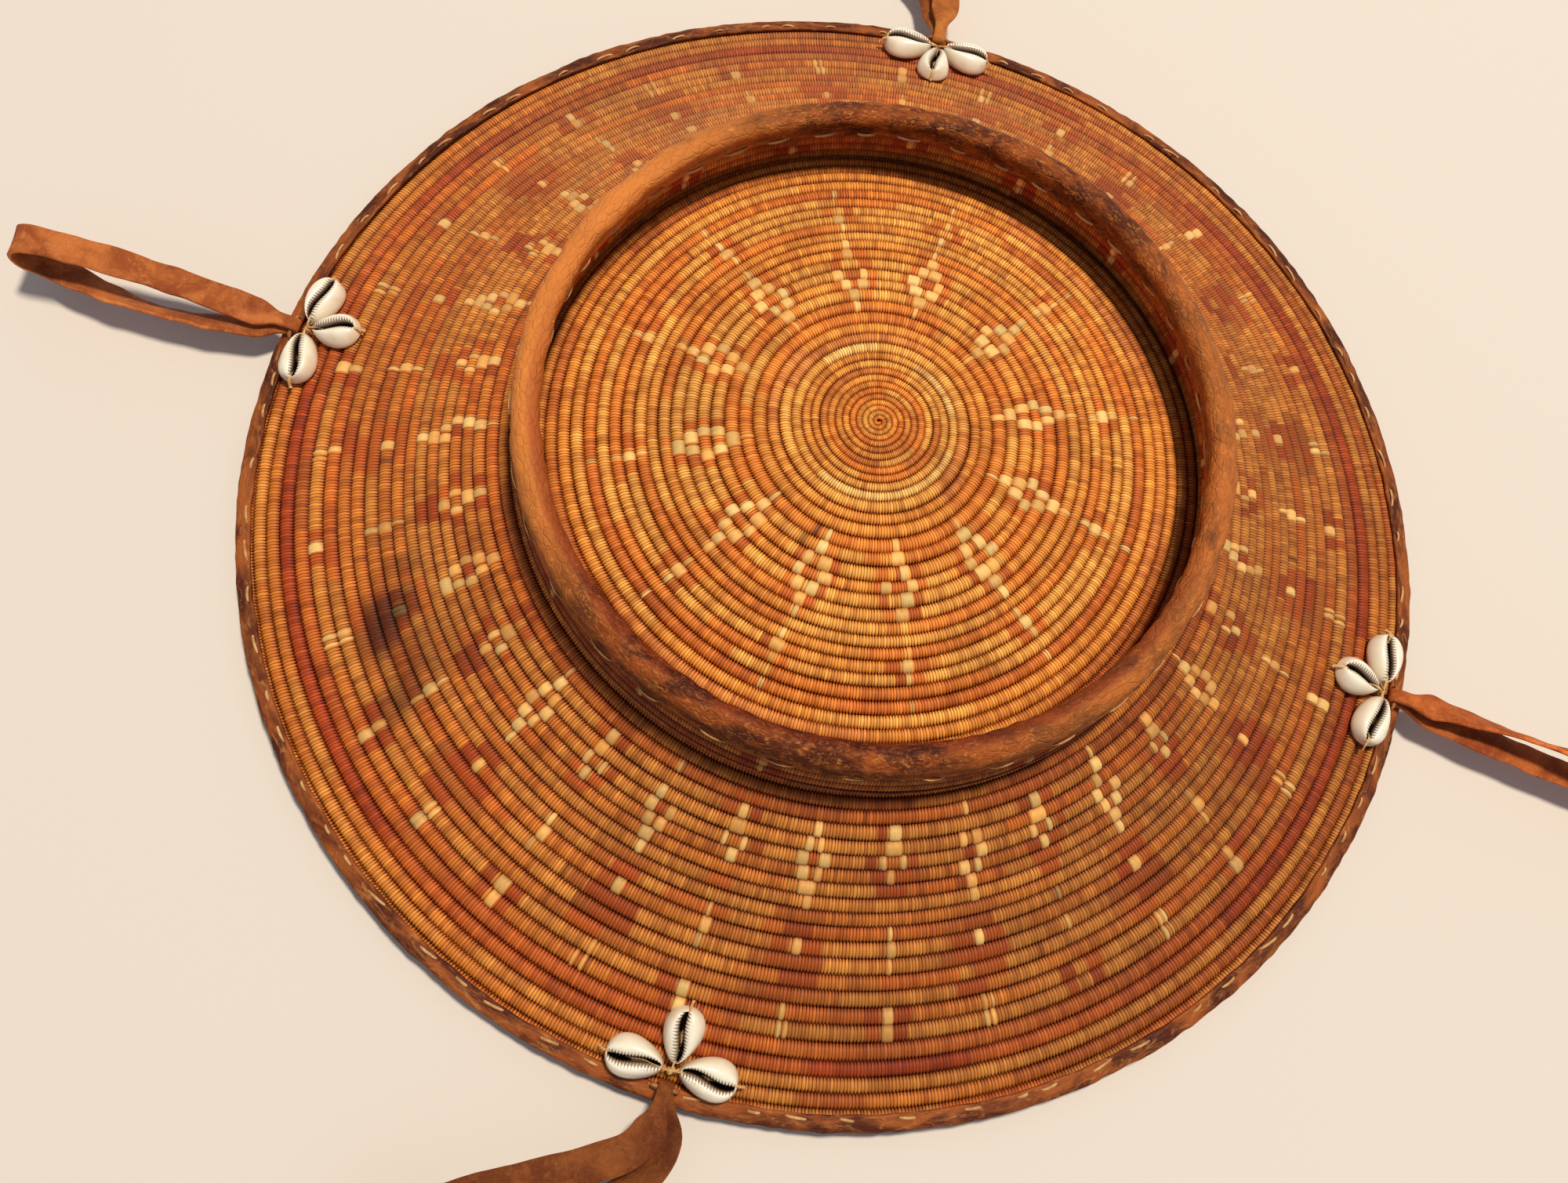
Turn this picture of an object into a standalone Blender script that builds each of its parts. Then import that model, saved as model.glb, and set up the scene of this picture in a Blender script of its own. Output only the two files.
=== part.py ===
# A coiled basket with a foot ring, leather edges, shell flowers and leather loops, lying mouth down.
# +Z is up. The origin is the centre of the rim, on the surface that the rim lies on.
# Lengths are in metres and angles in degrees.

import math

import bmesh
import bpy
from mathutils import Matrix, Vector

# The whole basket
rim_radius = 0.220
steps_round = 36
fit_gap = 0.0003

# The dish: a domed bottom inside the foot, then a wall that sweeps out to the rim
wall_thickness = 0.005
dome_radius = 0.108
dome_drop = 0.0167
wall_drop = 0.0580
wall_top_sweep = 0.0317
wall_rim_sweep = 0.0697
rim_slope = 17.8
plain_centre = 0.016
centre_pitch = 0.0026
disc_pitch = 0.0043
rim_pitch = 0.0061
fine_rows_end = 0.042
groove_share = 0.30
# Each ridge inside the dish stands for this many rows
inside_ridge_rows = 2

# The foot: a few rows of coil that stand on the dish
foot_base_radius = 0.1168
foot_height = 0.0271
foot_lean = 0.0038
foot_thickness = 0.005
foot_pitch = 0.0053

# Leather folded over the foot's edge
roll_radius = 0.0056
roll_cap = 0.0036
roll_hem = 0.0105
hem_thickness = 0.0012
foot_land_share = 0.83
roll_arc_points = 9

# Leather folded over the rim
binding_leather = 0.0016
binding_width = 0.0075
binding_land = 0.0035
nose_out_share = 0.62
nose_up_share = 0.82
nose_down_share = 0.60

# Shell flowers: three cowries with their backs cut away, tied at a knot
knot_inset = 0.0112
knot_size = 0.0013
knot_height = 0.0052
tip_gap = 0.0024
shell_length = 0.0200
shell_width_share = 0.70
shell_height = 0.0064
shell_pear_share = 0.28
shell_end_share = 0.62
# Round one section: shares of the way from the slit to the outline, and of the height
section_shares = ((0.0, 0.86), (0.30, 1.0), (0.72, 0.80), (1.0, 0.34), (0.90, 0.0),
                  (0.72, 0.0), (0.55, 0.50), (0.06, 0.62))
slit_length_share = 0.80
slit_half_width = 0.0012
middle_size_share = 0.95
shell_steps = 16
thong_radius = 0.00042
thong_sides = 6
thong_dip_share = 0.50
thong_height_share = 0.42
thong_fall_share = 0.62
shell_brow_share = 0.95
knot_steps = 10

# The stitch that each leather loop hangs on
stitch_radius = 0.0008
stitch_inset = 0.0055
stitch_corner = 0.0007

# The leather loops
strap_width = 0.0115
strap_root_width = 0.0050
strap_thickness = 0.0016
strap_reach = 0.104
strap_taper = 0.014
strap_tip_bend = 0.0072
strap_tip_lift = 0.0065
strap_steps = 16
bend_steps = 5
plan_steps = 60
upper_twist_share = 0.3

# Each flower and its loop. Turns are the directions of the left, middle and right shells, from straight
# inward, seen from outside. bend is how far the loop turns aside, from run_share of its reach and over
# turn_share of it. sway is how far its lower strand lies to one side, and twist how far it turns over.
flowers = (
    {"side": "front", "azimuth": -86.1, "turns": (90.0, -0.3, -86.0),
     "bend": -60.0, "run_share": 0.08, "turn_share": 0.34, "sway": -0.007, "twist": -30.0},
    {"side": "left", "azimuth": -175.7, "turns": (86.5, 6.5, -82.5),
     "bend": 6.0, "run_share": 0.0, "turn_share": 1.0, "sway": 0.009, "twist": 35.0},
    {"side": "right", "azimuth": 1.7, "turns": (83.4, -1.9, -84.6),
     "bend": -7.0, "run_share": 0.0, "turn_share": 1.0, "sway": -0.006, "twist": -25.0},
    {"side": "back", "azimuth": 99.5, "turns": (81.3, -1.0, -82.0),
     "bend": 46.0, "run_share": 0.08, "turn_share": 0.34, "sway": 0.007, "twist": 30.0},
)


def rad(degrees):
    return math.radians(degrees)


def smooth_step(share):
    share = min(1.0, max(0.0, share))
    return share * share * (3.0 - 2.0 * share)


# The wall's middle line, as (radius, height) points from the centre to the rim

half_wall = wall_thickness / 2
wall_end_radius = rim_radius - (binding_leather + fit_gap) * math.cos(rad(rim_slope))
wall_end_height = binding_leather + (half_wall + fit_gap) * math.cos(rad(rim_slope))
dome_edge_height = wall_end_height + wall_drop
line_samples = 400


def dome_height(radius):
    return dome_edge_height + dome_drop * (1.0 - (radius / dome_radius) ** 2)


def wall_bezier(share):
    dome_slope = Vector((1.0, -2.0 * dome_drop / dome_radius)).normalized()
    slope = Vector((math.cos(rad(rim_slope)), -math.sin(rad(rim_slope))))
    start = Vector((dome_radius, dome_edge_height))
    end = Vector((wall_end_radius, wall_end_height))
    first = start + dome_slope * wall_top_sweep
    second = end - slope * wall_rim_sweep
    left = 1.0 - share
    return (start * left ** 3 + first * 3 * share * left ** 2
            + second * 3 * share ** 2 * left + end * share ** 3)


def middle_line():
    points = []
    for i in range(line_samples):
        radius = dome_radius * i / line_samples
        points.append(Vector((radius, dome_height(radius))))
    for i in range(line_samples + 1):
        points.append(wall_bezier(i / line_samples))
    lengths = [0.0]
    for before, after in zip(points, points[1:]):
        lengths.append(lengths[-1] + (after - before).length)
    return points, lengths


line_points, line_lengths = middle_line()
line_end = line_lengths[-1]


def line_index(distance):
    low, high = 0, len(line_lengths) - 2
    while low < high:
        middle = (low + high + 1) // 2
        if line_lengths[middle] <= distance:
            low = middle
        else:
            high = middle - 1
    return low


def wall_at(distance, offset):
    """(radius, height) at this distance along the middle line, moved out along its normal."""
    i = line_index(distance)
    before, after = line_points[i], line_points[i + 1]
    share = (distance - line_lengths[i]) / (line_lengths[i + 1] - line_lengths[i])
    point = before.lerp(after, share)
    along = (after - before).normalized()
    return point + Vector((-along.y, along.x)) * offset


def wall_height(radius, offset):
    """Height of the surface that lies this far above the middle line, at a radius."""
    low, high = 0.0, line_end
    for _ in range(40):
        middle = (low + high) / 2
        if wall_at(middle, offset).x < radius:
            low = middle
        else:
            high = middle
    return wall_at(low, offset).y


def row_pitch(distance):
    if distance < fine_rows_end:
        share = (distance - plain_centre) / (fine_rows_end - plain_centre)
        return centre_pitch + (disc_pitch - centre_pitch) * max(0.0, share)
    share = (distance - dome_radius) / (line_end - dome_radius)
    return disc_pitch + (rim_pitch - disc_pitch) * max(0.0, share)


# Meshes and objects

def new_object(name, mesh, material):
    thing = bpy.data.objects.new(name, mesh)
    bpy.context.scene.collection.objects.link(thing)
    mesh.materials.append(material)
    mesh.shade_smooth()
    mesh.set_sharp_from_angle(angle=rad(50))
    return thing


def finish_mesh(bm, name):
    bmesh.ops.recalc_face_normals(bm, faces=bm.faces)
    bmesh.ops.triangulate(bm, faces=bm.faces)
    mesh = bpy.data.meshes.new(name)
    bm.to_mesh(mesh)
    bm.free()
    return mesh


def make_material(name, colour, roughness):
    material = bpy.data.materials.new(name)
    material.use_nodes = True
    shader = material.node_tree.nodes["Principled BSDF"]
    shader.inputs["Base Color"].default_value = (*colour, 1.0)
    shader.inputs["Roughness"].default_value = roughness
    shader.inputs["Metallic"].default_value = 0.0
    material.diffuse_color = (*colour, 1.0)
    return material


def round_point(radius, height, step):
    """A point on the coil's angular step. The coil winds outward clockwise, seen from above."""
    angle = -2.0 * math.pi * step / steps_round
    return Vector((radius * math.cos(angle), radius * math.sin(angle), height))


# Coiled rows: one groove line that winds on and on, with a crest halfway between its turns

def groove_line(start, end, pitch_at):
    places = [start] * steps_round
    while places[-steps_round] < end:
        step = pitch_at(places[-1]) / steps_round
        places.append(min(end, places[-1] + step))
    return places[:-1]


def coil_side(bm, place, start, end, pitch_at):
    """One ridged side. It returns the vertex loops at its start and at its end."""
    grooves = groove_line(start, end, pitch_at)
    rows = len(grooves) - steps_round
    low = [bm.verts.new(place(at, i, 0.0)) for i, at in enumerate(grooves)]
    high = [bm.verts.new(place((grooves[i] + grooves[i + steps_round]) / 2, i, 1.0))
            for i in range(rows)]
    for i in range(rows - 1):
        bm.faces.new((low[i], low[i + 1], high[i + 1], high[i]))
        bm.faces.new((high[i], high[i + 1], low[i + 1 + steps_round], low[i + steps_round]))
    start_loop = low[:steps_round + 1] + [high[0]]
    end_loop = low[rows - 1:] + [high[-1]]
    return start_loop, end_loop, rows


def join_loops(bm, first, second):
    for i in range(len(first)):
        after = (i + 1) % len(first)
        bm.faces.new((first[i], first[after], second[after], second[i]))


def fan(bm, loop, centre):
    for i in range(len(loop)):
        bm.faces.new((loop[i], loop[(i + 1) % len(loop)], centre))


def turned_ring(bm, profile):
    """A closed ring from a closed outline of (radius, height) points."""
    rings = [[bm.verts.new(round_point(p.x, p.y, step)) for p in profile] for step in range(steps_round)]
    for step in range(steps_round):
        join_loops(bm, rings[step], rings[(step + 1) % steps_round])


# The dish

def dish_place(side):
    """Places on the outer (side 1) or inner (side -1) face of the dish."""
    def place(distance, step, crest):
        depth = groove_share * row_pitch(distance) * (1.0 - crest)
        point = wall_at(distance, side * (half_wall - depth))
        return round_point(point.x, point.y, step)
    return place


def close_coil(bm, end_loop, edge):
    """Joins the end of a ridged side to a plain ring that starts at the same step."""
    outer, last_crest, last_groove = end_loop[1:-1], end_loop[-1], end_loop[0]
    join_loops(bm, outer, edge)
    bm.faces.new((outer[-1], last_crest, outer[0]))
    bm.faces.new((last_crest, last_groove, outer[0]))


def make_dish():
    bm = bmesh.new()
    point = wall_at(line_end, 0.0)
    edge = [bm.verts.new(round_point(point.x, point.y, step)) for step in range(steps_round)]
    for side, rows in ((1, 1), (-1, inside_ridge_rows)):
        place = dish_place(side)
        start_loop, end_loop, last = coil_side(
            bm, place, plain_centre, line_end, lambda distance: row_pitch(distance) * rows)
        fan(bm, start_loop, bm.verts.new(place(0.0, 0, 1.0)))
        first = last % steps_round
        close_coil(bm, end_loop, edge[first:] + edge[:first])
    return finish_mesh(bm, "dish_coil")


# The foot

half_foot = foot_thickness / 2
foot_seat = half_wall + fit_gap
foot_top_height = wall_height(foot_base_radius, foot_seat) + foot_height
foot_groove = groove_share * foot_pitch


def foot_edge_radius(height, side):
    """Radius of the foot's outer (side 1) or inner (side -1) face at a height."""
    risen = (height - wall_height(foot_base_radius, foot_seat)) / foot_height
    return foot_base_radius - foot_lean * risen + side * half_foot


def foot_face_bottom(side):
    return wall_height(foot_base_radius + side * half_foot, foot_seat)


def foot_place(side):
    bottom = foot_face_bottom(side)

    def place(risen, step, crest):
        height = bottom + (foot_top_height - bottom) * risen / foot_height
        from_end = min(risen, foot_height - risen)
        depth = foot_groove * (1.0 - crest) * min(1.0, from_end / foot_pitch)
        return round_point(foot_edge_radius(height, side) - side * depth, height, step)
    return place


def make_foot():
    bm = bmesh.new()
    loops = [coil_side(bm, foot_place(side), 0.0, foot_height, lambda risen: foot_pitch)
             for side in (1, -1)]
    join_loops(bm, loops[0][0], loops[1][0])
    join_loops(bm, loops[0][1], loops[1][1])
    return finish_mesh(bm, "foot_coil")


def make_roll():
    """The leather folded over the foot: a round top, flattened where it is stood on, and a hem."""
    total = foot_top_height + roll_cap
    inside = half_foot + fit_gap
    hem = inside + hem_thickness
    land_angle = 90.0 * foot_land_share
    neck_angle = math.degrees(math.acos(hem / roll_radius))
    arc = []
    for i in range(roll_arc_points):
        angle = rad(-neck_angle + (land_angle + neck_angle) * i / (roll_arc_points - 1))
        arc.append((roll_radius * math.cos(angle), roll_radius * math.sin(angle)))
    land = arc[-1][1]
    outline = [(hem, -roll_hem)] + arc + [(-x, y) for x, y in reversed(arc)] + [(-hem, -roll_hem)]
    cavity_top = foot_top_height + fit_gap - (total - land)
    outline += [(-inside, -roll_hem), (-inside, cavity_top), (inside, cavity_top), (inside, -roll_hem)]
    profile = []
    for x, y in outline:
        height = total - land + y
        profile.append(Vector((foot_edge_radius(height, 0) + x, height)))
    bm = bmesh.new()
    turned_ring(bm, profile)
    return finish_mesh(bm, "foot_leather_roll")


# The rim's binding

def make_binding():
    """A leather strip folded over the wall's edge, with a flat band where the basket lies on it."""
    inside = half_wall + fit_gap
    outside = inside + binding_leather
    edge = Vector((math.cos(rad(rim_slope)), -math.sin(rad(rim_slope))))
    end = Vector((wall_end_radius, wall_end_height))
    up = Vector((-edge.y, edge.x))
    inner_end = line_end - binding_width
    halfway = line_end - binding_width / 2
    thin = inside + binding_leather / 2
    top = [wall_at(inner_end, inside), wall_at(inner_end, thin), wall_at(halfway, outside),
           end + up * outside]
    nose = [end + edge * (fit_gap + binding_leather * nose_out_share) + up * outside * nose_up_share,
            end + edge * (fit_gap + binding_leather),
            end + edge * (fit_gap + binding_leather) - up * half_wall * nose_down_share]
    land_out = (nose[-1].x + end.x) / 2
    land = [Vector((land_out, 0.0)), Vector((land_out - binding_land, 0.0))]
    under = [wall_at(inner_end, -thin), wall_at(inner_end, -inside), wall_at(halfway, -inside),
             end - up * inside, end - up * inside + edge * fit_gap, end + up * inside + edge * fit_gap,
             end + up * inside, wall_at(halfway, inside)]
    bm = bmesh.new()
    turned_ring(bm, top + nose + land + under)
    return finish_mesh(bm, "rim_leather_binding")


# Cowries. Local axes: x from the knot to the far end, z up out of the slit, origin under the middle.

def make_cowrie(name, length):
    half_long = length / 2
    half_wide = length * shell_width_share / 2
    bm = bmesh.new()
    rings = []
    for i in range(shell_steps):
        angle = 2.0 * math.pi * (i + 0.5) / shell_steps
        cosine, sine = math.cos(angle), math.sin(angle)
        outline = Vector((half_long * cosine, half_wide * sine * (1.0 + shell_pear_share * cosine)))
        slit_side = math.copysign(math.sqrt(abs(sine)), sine)
        slit = Vector((half_long * slit_length_share * cosine, slit_half_width * slit_side))
        tall = shell_height * (shell_end_share + (1.0 - shell_end_share) * abs(sine))
        ring = []
        for along, up in section_shares:
            point = slit.lerp(outline, along)
            ring.append(bm.verts.new((point.x, point.y, tall * up)))
        rings.append(ring)
    for i in range(shell_steps):
        join_loops(bm, rings[i], rings[(i + 1) % shell_steps])
    return finish_mesh(bm, name)


def flower_frame(azimuth):
    """Axes at a flower's knot: x outward along the wall, y round the rim, z out of the wall."""
    knot = wall_at(line_end - knot_inset, half_wall)
    outward = wall_at(line_end, half_wall) - knot
    turn = Matrix.Rotation(rad(azimuth), 4, "Z")
    tilt = Matrix.Rotation(math.atan2(-outward.y, outward.x), 4, "Y")
    return turn @ Matrix.Translation((knot.x, 0.0, knot.y)) @ tilt


def side_shell_seat():
    """Height and lean of a side shell that rests on the binding and on the coil inside it."""
    reach = shell_length * shell_width_share / 2
    rise = binding_leather + fit_gap
    across = knot_inset - binding_width + reach
    return fit_gap + rise * reach / across, math.atan2(rise, across)


def middle_shell_seat(length):
    """Height at the knot and pitch of the middle shell, whose two ends rest on the hollow of the wall."""
    knot = wall_at(line_end - knot_inset, half_wall)
    outward = (wall_at(line_end, half_wall) - knot).normalized()
    ends = []
    for along in (tip_gap, tip_gap + length):
        reached = wall_at(line_end - knot_inset - along, half_wall + fit_gap) - knot
        rise = outward.x * reached.y - outward.y * reached.x
        ends.append(Vector((-outward.dot(reached), rise)))
    slope = math.atan2(ends[1].y - ends[0].y, ends[1].x - ends[0].x)
    return ends[0].y - ends[0].x * math.tan(slope), slope


def shell_matrix(turn, length, lift, lean, pitch):
    spin = Matrix.Rotation(math.pi + rad(turn), 4, "Z")
    tip = Matrix.Rotation(-pitch, 4, "Y")
    out = Matrix.Translation((tip_gap + length / 2, 0.0, 0.0))
    return Matrix.Translation((0.0, 0.0, lift)) @ spin @ tip @ out @ Matrix.Rotation(lean, 4, "X")


# Tubes

def tube_mesh(bm, points, radius, sides):
    points = [Vector(p) for p in points]
    rings = []
    for i, point in enumerate(points):
        before, after = points[max(0, i - 1)], points[min(len(points) - 1, i + 1)]
        along = (after - before).normalized()
        aside = along.cross(Vector((0.0, 0.0, 1.0)))
        if aside.length < 0.2:
            aside = along.cross(Vector((0.0, 1.0, 0.0)))
        aside.normalize()
        over = aside.cross(along)
        ring = []
        for k in range(sides):
            angle = 2.0 * math.pi * (k + 0.5) / sides
            ring.append(bm.verts.new(point + (aside * math.cos(angle) + over * math.sin(angle)) * radius))
        rings.append(ring)
    for first, second in zip(rings, rings[1:]):
        join_loops(bm, first, second)
    bm.faces.new(rings[0])
    bm.faces.new(rings[-1])


def thong_route(frame, place, length):
    """Over a shell's inner end, down into its slit, out over its far end and down to the coil."""
    half_long = length / 2
    end_share = shell_end_share + (1.0 - shell_end_share) * math.sin(math.pi / shell_steps)
    over = shell_height * end_share + fit_gap + thong_radius
    past = half_long + fit_gap + thong_radius * 2
    half_route = ((thong_dip_share, shell_height * thong_height_share), (slit_length_share, over),
                  (shell_brow_share, over))
    points = [(-half_long * share, height) for share, height in reversed(half_route)]
    points += [(half_long * share, height) for share, height in half_route]
    points.append((past, over * thong_fall_share))
    route = [Vector((0.0, 0.0, knot_height - thong_radius * 2))]
    route += [place @ Vector((x, 0.0, z)) for x, z in points]
    end = frame @ place @ Vector((past + thong_radius, 0.0, 0.0))
    end.z = wall_height(math.hypot(end.x, end.y), half_wall + fit_gap)
    route.append(frame.inverted() @ end)
    return route


def make_tie(name, frame, places, material):
    """The knot between the shells, with a thong out through each shell's slit, as one body."""
    bm = bmesh.new()
    bmesh.ops.create_uvsphere(bm, u_segments=knot_steps, v_segments=knot_steps // 2 + 1, radius=1.0)
    half_high = (knot_height - fit_gap) / 2
    bm.transform(Matrix.Translation((0.0, 0.0, fit_gap + half_high))
                 @ Matrix.Diagonal((knot_size, knot_size, half_high, 1.0)))
    tie = new_object(name, finish_mesh(bm, name), material)
    for number, (place, length) in enumerate(places):
        bm = bmesh.new()
        tube_mesh(bm, thong_route(frame, place, length), thong_radius, thong_sides)
        helper = new_object(name + "_strand_" + str(number), finish_mesh(bm, name), material)
        helper.hide_render = True
        helper.display_type = "WIRE"
        helper.matrix_world = frame
        union = tie.modifiers.new("strand_" + str(number), "BOOLEAN")
        union.operation = "UNION"
        union.solver = "EXACT"
        union.object = helper
    tie.matrix_world = frame
    return tie


# The leather loops. Local axes: x outward, y round the rim, z up, origin on the stitch that holds it.

eye_radius = stitch_radius + fit_gap + strap_thickness / 2
stitch_rise = fit_gap + eye_radius + strap_thickness / 2
stitch_axis = wall_at(line_end - stitch_inset, half_wall + fit_gap + binding_leather + stitch_rise)


def strap_plan(strap, reach_share):
    """Plan position and heading of a loop's middle line, from its stitch to its tip."""
    position = Vector((0.0, 0.0))
    heading = 0.0
    pieces = max(1, round(reach_share * plan_steps))
    for i in range(pieces):
        share = reach_share * (i + 0.5) / pieces
        heading = rad(strap["bend"]) * smooth_step((share - strap["run_share"]) / strap["turn_share"])
        position += Vector((math.cos(heading), math.sin(heading))) * strap_reach * reach_share / pieces
    return position, heading


def strap_sections(strap):
    """(point, sideways direction, twist, width) all the way round the closed loop."""
    sections = []
    root = strap_root_width
    for i in range(bend_steps):
        angle = rad(270.0 - 180.0 * i / bend_steps)
        point = Vector((eye_radius * math.cos(angle), 0.0, eye_radius * math.sin(angle)))
        sections.append((point, 0.0, 0.0, root))
    tip, tip_heading = strap_plan(strap, 1.0)
    up = Vector((0.0, 0.0, 1.0))

    def strand(share, upper):
        plan, heading = strap_plan(strap, share)
        widen = smooth_step(share * strap_reach / strap_taper)
        width = root + (strap_width - root) * widen
        belly = math.sin(math.pi * share)
        rise = smooth_step(share)
        twist = rad(strap["twist"]) * belly
        if upper:
            height = eye_radius + (strap_tip_lift + strap_tip_bend - eye_radius) * rise
            return plan.to_3d() + up * height, heading, twist * upper_twist_share, width
        height = -eye_radius + (strap_tip_lift - strap_tip_bend + eye_radius) * rise
        aside = Vector((-math.sin(heading), math.cos(heading), 0.0)) * strap["sway"] * belly
        return plan.to_3d() + aside + up * height, heading, twist, width

    for i in range(strap_steps + 1):
        sections.append(strand(i / strap_steps, True))
    outward = Vector((math.cos(tip_heading), math.sin(tip_heading), 0.0))
    for i in range(1, bend_steps + 1):
        angle = rad(90.0 - 180.0 * i / (bend_steps + 1))
        bend = outward * math.cos(angle) + up * math.sin(angle)
        point = tip.to_3d() + up * strap_tip_lift + bend * strap_tip_bend
        sections.append((point, tip_heading, 0.0, strap_width))
    for i in range(strap_steps, 0, -1):
        sections.append(strand(i / strap_steps, False))
    return sections


def make_strap(name, strap):
    bm = bmesh.new()
    sections = strap_sections(strap)
    count = len(sections)
    rings = []
    for i, (point, heading, twist, width) in enumerate(sections):
        along = (sections[(i + 1) % count][0] - sections[i - 1][0]).normalized()
        side = Vector((-math.sin(heading), math.cos(heading), 0.0))
        side = (side - along * side.dot(along)).normalized()
        side.rotate(Matrix.Rotation(twist, 3, along))
        out = along.cross(side)
        corners = ((1, 1), (-1, 1), (-1, -1), (1, -1))
        rings.append([bm.verts.new(point + side * width / 2 * a + out * strap_thickness / 2 * b)
                      for a, b in corners])
    for i in range(count):
        join_loops(bm, rings[i], rings[(i + 1) % count])
    return finish_mesh(bm, name)


def make_stitch(name):
    """A thong that comes up through the rim, crosses inside the loop's eye and goes down again."""
    reach = strap_root_width / 2 + fit_gap + stitch_radius + stitch_corner
    foot = -(eye_radius + strap_thickness / 2)
    turn = stitch_corner
    points = [(0.0, -reach, foot), (0.0, -reach, -turn), (0.0, -reach + turn, 0.0),
              (0.0, reach - turn, 0.0), (0.0, reach, -turn), (0.0, reach, foot)]
    bm = bmesh.new()
    tube_mesh(bm, points, stitch_radius, 8)
    return finish_mesh(bm, name)


def clear_scene():
    for thing in list(bpy.data.objects):
        bpy.data.objects.remove(thing, do_unlink=True)


def main():
    clear_scene()
    straw = make_material("straw", (0.62, 0.33, 0.10), 0.75)
    rim_leather = make_material("rim_leather", (0.20, 0.07, 0.03), 0.60)
    roll_leather = make_material("roll_leather", (0.27, 0.11, 0.05), 0.50)
    strap_leather = make_material("strap_leather", (0.50, 0.22, 0.08), 0.80)
    shell = make_material("shell", (0.86, 0.80, 0.68), 0.25)
    thong = make_material("thong", (0.60, 0.42, 0.22), 0.80)

    new_object("dish_coil", make_dish(), straw)
    new_object("foot_coil", make_foot(), straw)
    new_object("foot_leather_roll", make_roll(), roll_leather)
    new_object("rim_leather_binding", make_binding(), rim_leather)

    side_lift, side_lean = side_shell_seat()
    middle_length = shell_length * middle_size_share
    middle_lift, middle_pitch = middle_shell_seat(middle_length)
    shells = (("left", shell_length, side_lift, side_lean, 0.0),
              ("middle", middle_length, middle_lift, 0.0, middle_pitch),
              ("right", shell_length, side_lift, -side_lean, 0.0))
    for flower in flowers:
        side = flower["side"]
        frame = flower_frame(flower["azimuth"])
        centre = bpy.data.objects.new("flower_" + side, None)
        bpy.context.scene.collection.objects.link(centre)
        centre.matrix_world = frame
        places = []
        for turn, (which, length, lift, lean, pitch) in zip(flower["turns"], shells):
            name = "cowrie_" + side + "_" + which
            cowrie = new_object(name, make_cowrie(name, length), shell)
            place = shell_matrix(turn, length, lift, lean, pitch)
            cowrie.parent = centre
            cowrie.matrix_local = place
            places.append((place, length))
        make_tie("shell_tie_" + side, frame, places, thong)

        turn = Matrix.Rotation(rad(flower["azimuth"]), 4, "Z")
        hinge = turn @ Matrix.Translation((stitch_axis.x, 0.0, stitch_axis.y))
        stitch = new_object("strap_stitch_" + side, make_stitch("strap_stitch_" + side), thong)
        stitch.matrix_world = hinge
        loop = new_object("strap_loop_" + side, make_strap("strap_loop_" + side, flower), strap_leather)
        loop.matrix_world = hinge


main()
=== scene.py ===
import math

import bpy
import numpy as np
from mathutils import Matrix, Vector, noise


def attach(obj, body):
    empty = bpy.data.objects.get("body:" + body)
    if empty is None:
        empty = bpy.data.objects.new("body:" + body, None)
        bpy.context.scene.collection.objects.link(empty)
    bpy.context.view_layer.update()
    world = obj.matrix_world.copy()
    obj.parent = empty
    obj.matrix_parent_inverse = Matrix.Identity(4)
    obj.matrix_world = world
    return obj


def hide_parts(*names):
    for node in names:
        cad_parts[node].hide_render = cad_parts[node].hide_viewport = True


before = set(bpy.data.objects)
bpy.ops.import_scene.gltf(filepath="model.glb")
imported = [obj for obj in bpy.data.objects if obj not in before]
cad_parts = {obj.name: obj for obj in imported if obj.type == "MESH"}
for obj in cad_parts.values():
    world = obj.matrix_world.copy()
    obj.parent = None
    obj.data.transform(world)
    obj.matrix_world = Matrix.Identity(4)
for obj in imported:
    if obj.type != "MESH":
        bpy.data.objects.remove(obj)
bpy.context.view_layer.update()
chance = np.random.RandomState(7)

# The camera, from the lines of the rim, the foot and the coil in the photograph
view = {
    "position": (0.0, -0.21151, 0.49411),
    "right": (0.93042, 0.35109, 0.10510),
    "up": (-0.36603, 0.87597, 0.31417),
    "lens": 32.4,
    "sensor": 36.0,
}

right = Vector(view["right"]).normalized()
back = right.cross(Vector(view["up"])).normalized()
upward = back.cross(right)
camera = bpy.data.objects.new("camera", bpy.data.cameras.new("camera"))
bpy.context.scene.collection.objects.link(camera)
camera.data.sensor_width = view["sensor"]
camera.data.lens = view["lens"]
camera.data.clip_start = 0.01
facing = Matrix((right, upward, back)).transposed()
camera.matrix_world = Matrix.Translation(view["position"]) @ facing.to_4x4()
bpy.context.scene.camera = camera
print("camera set")


# Node trees written as sums: a wire is a socket that can be added, multiplied and so on

class Wire:
    def __init__(self, bench, socket):
        self.bench = bench
        self.socket = socket

    def __add__(self, other):
        return self.bench.math("ADD", self, other)

    def __sub__(self, other):
        return self.bench.math("SUBTRACT", self, other)

    def __rsub__(self, other):
        return self.bench.math("SUBTRACT", other, self)

    def __mul__(self, other):
        return self.bench.math("MULTIPLY", self, other)

    def __truediv__(self, other):
        return self.bench.math("DIVIDE", self, other)

    def __rtruediv__(self, other):
        return self.bench.math("DIVIDE", other, self)

    __radd__ = __add__
    __rmul__ = __mul__


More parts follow.
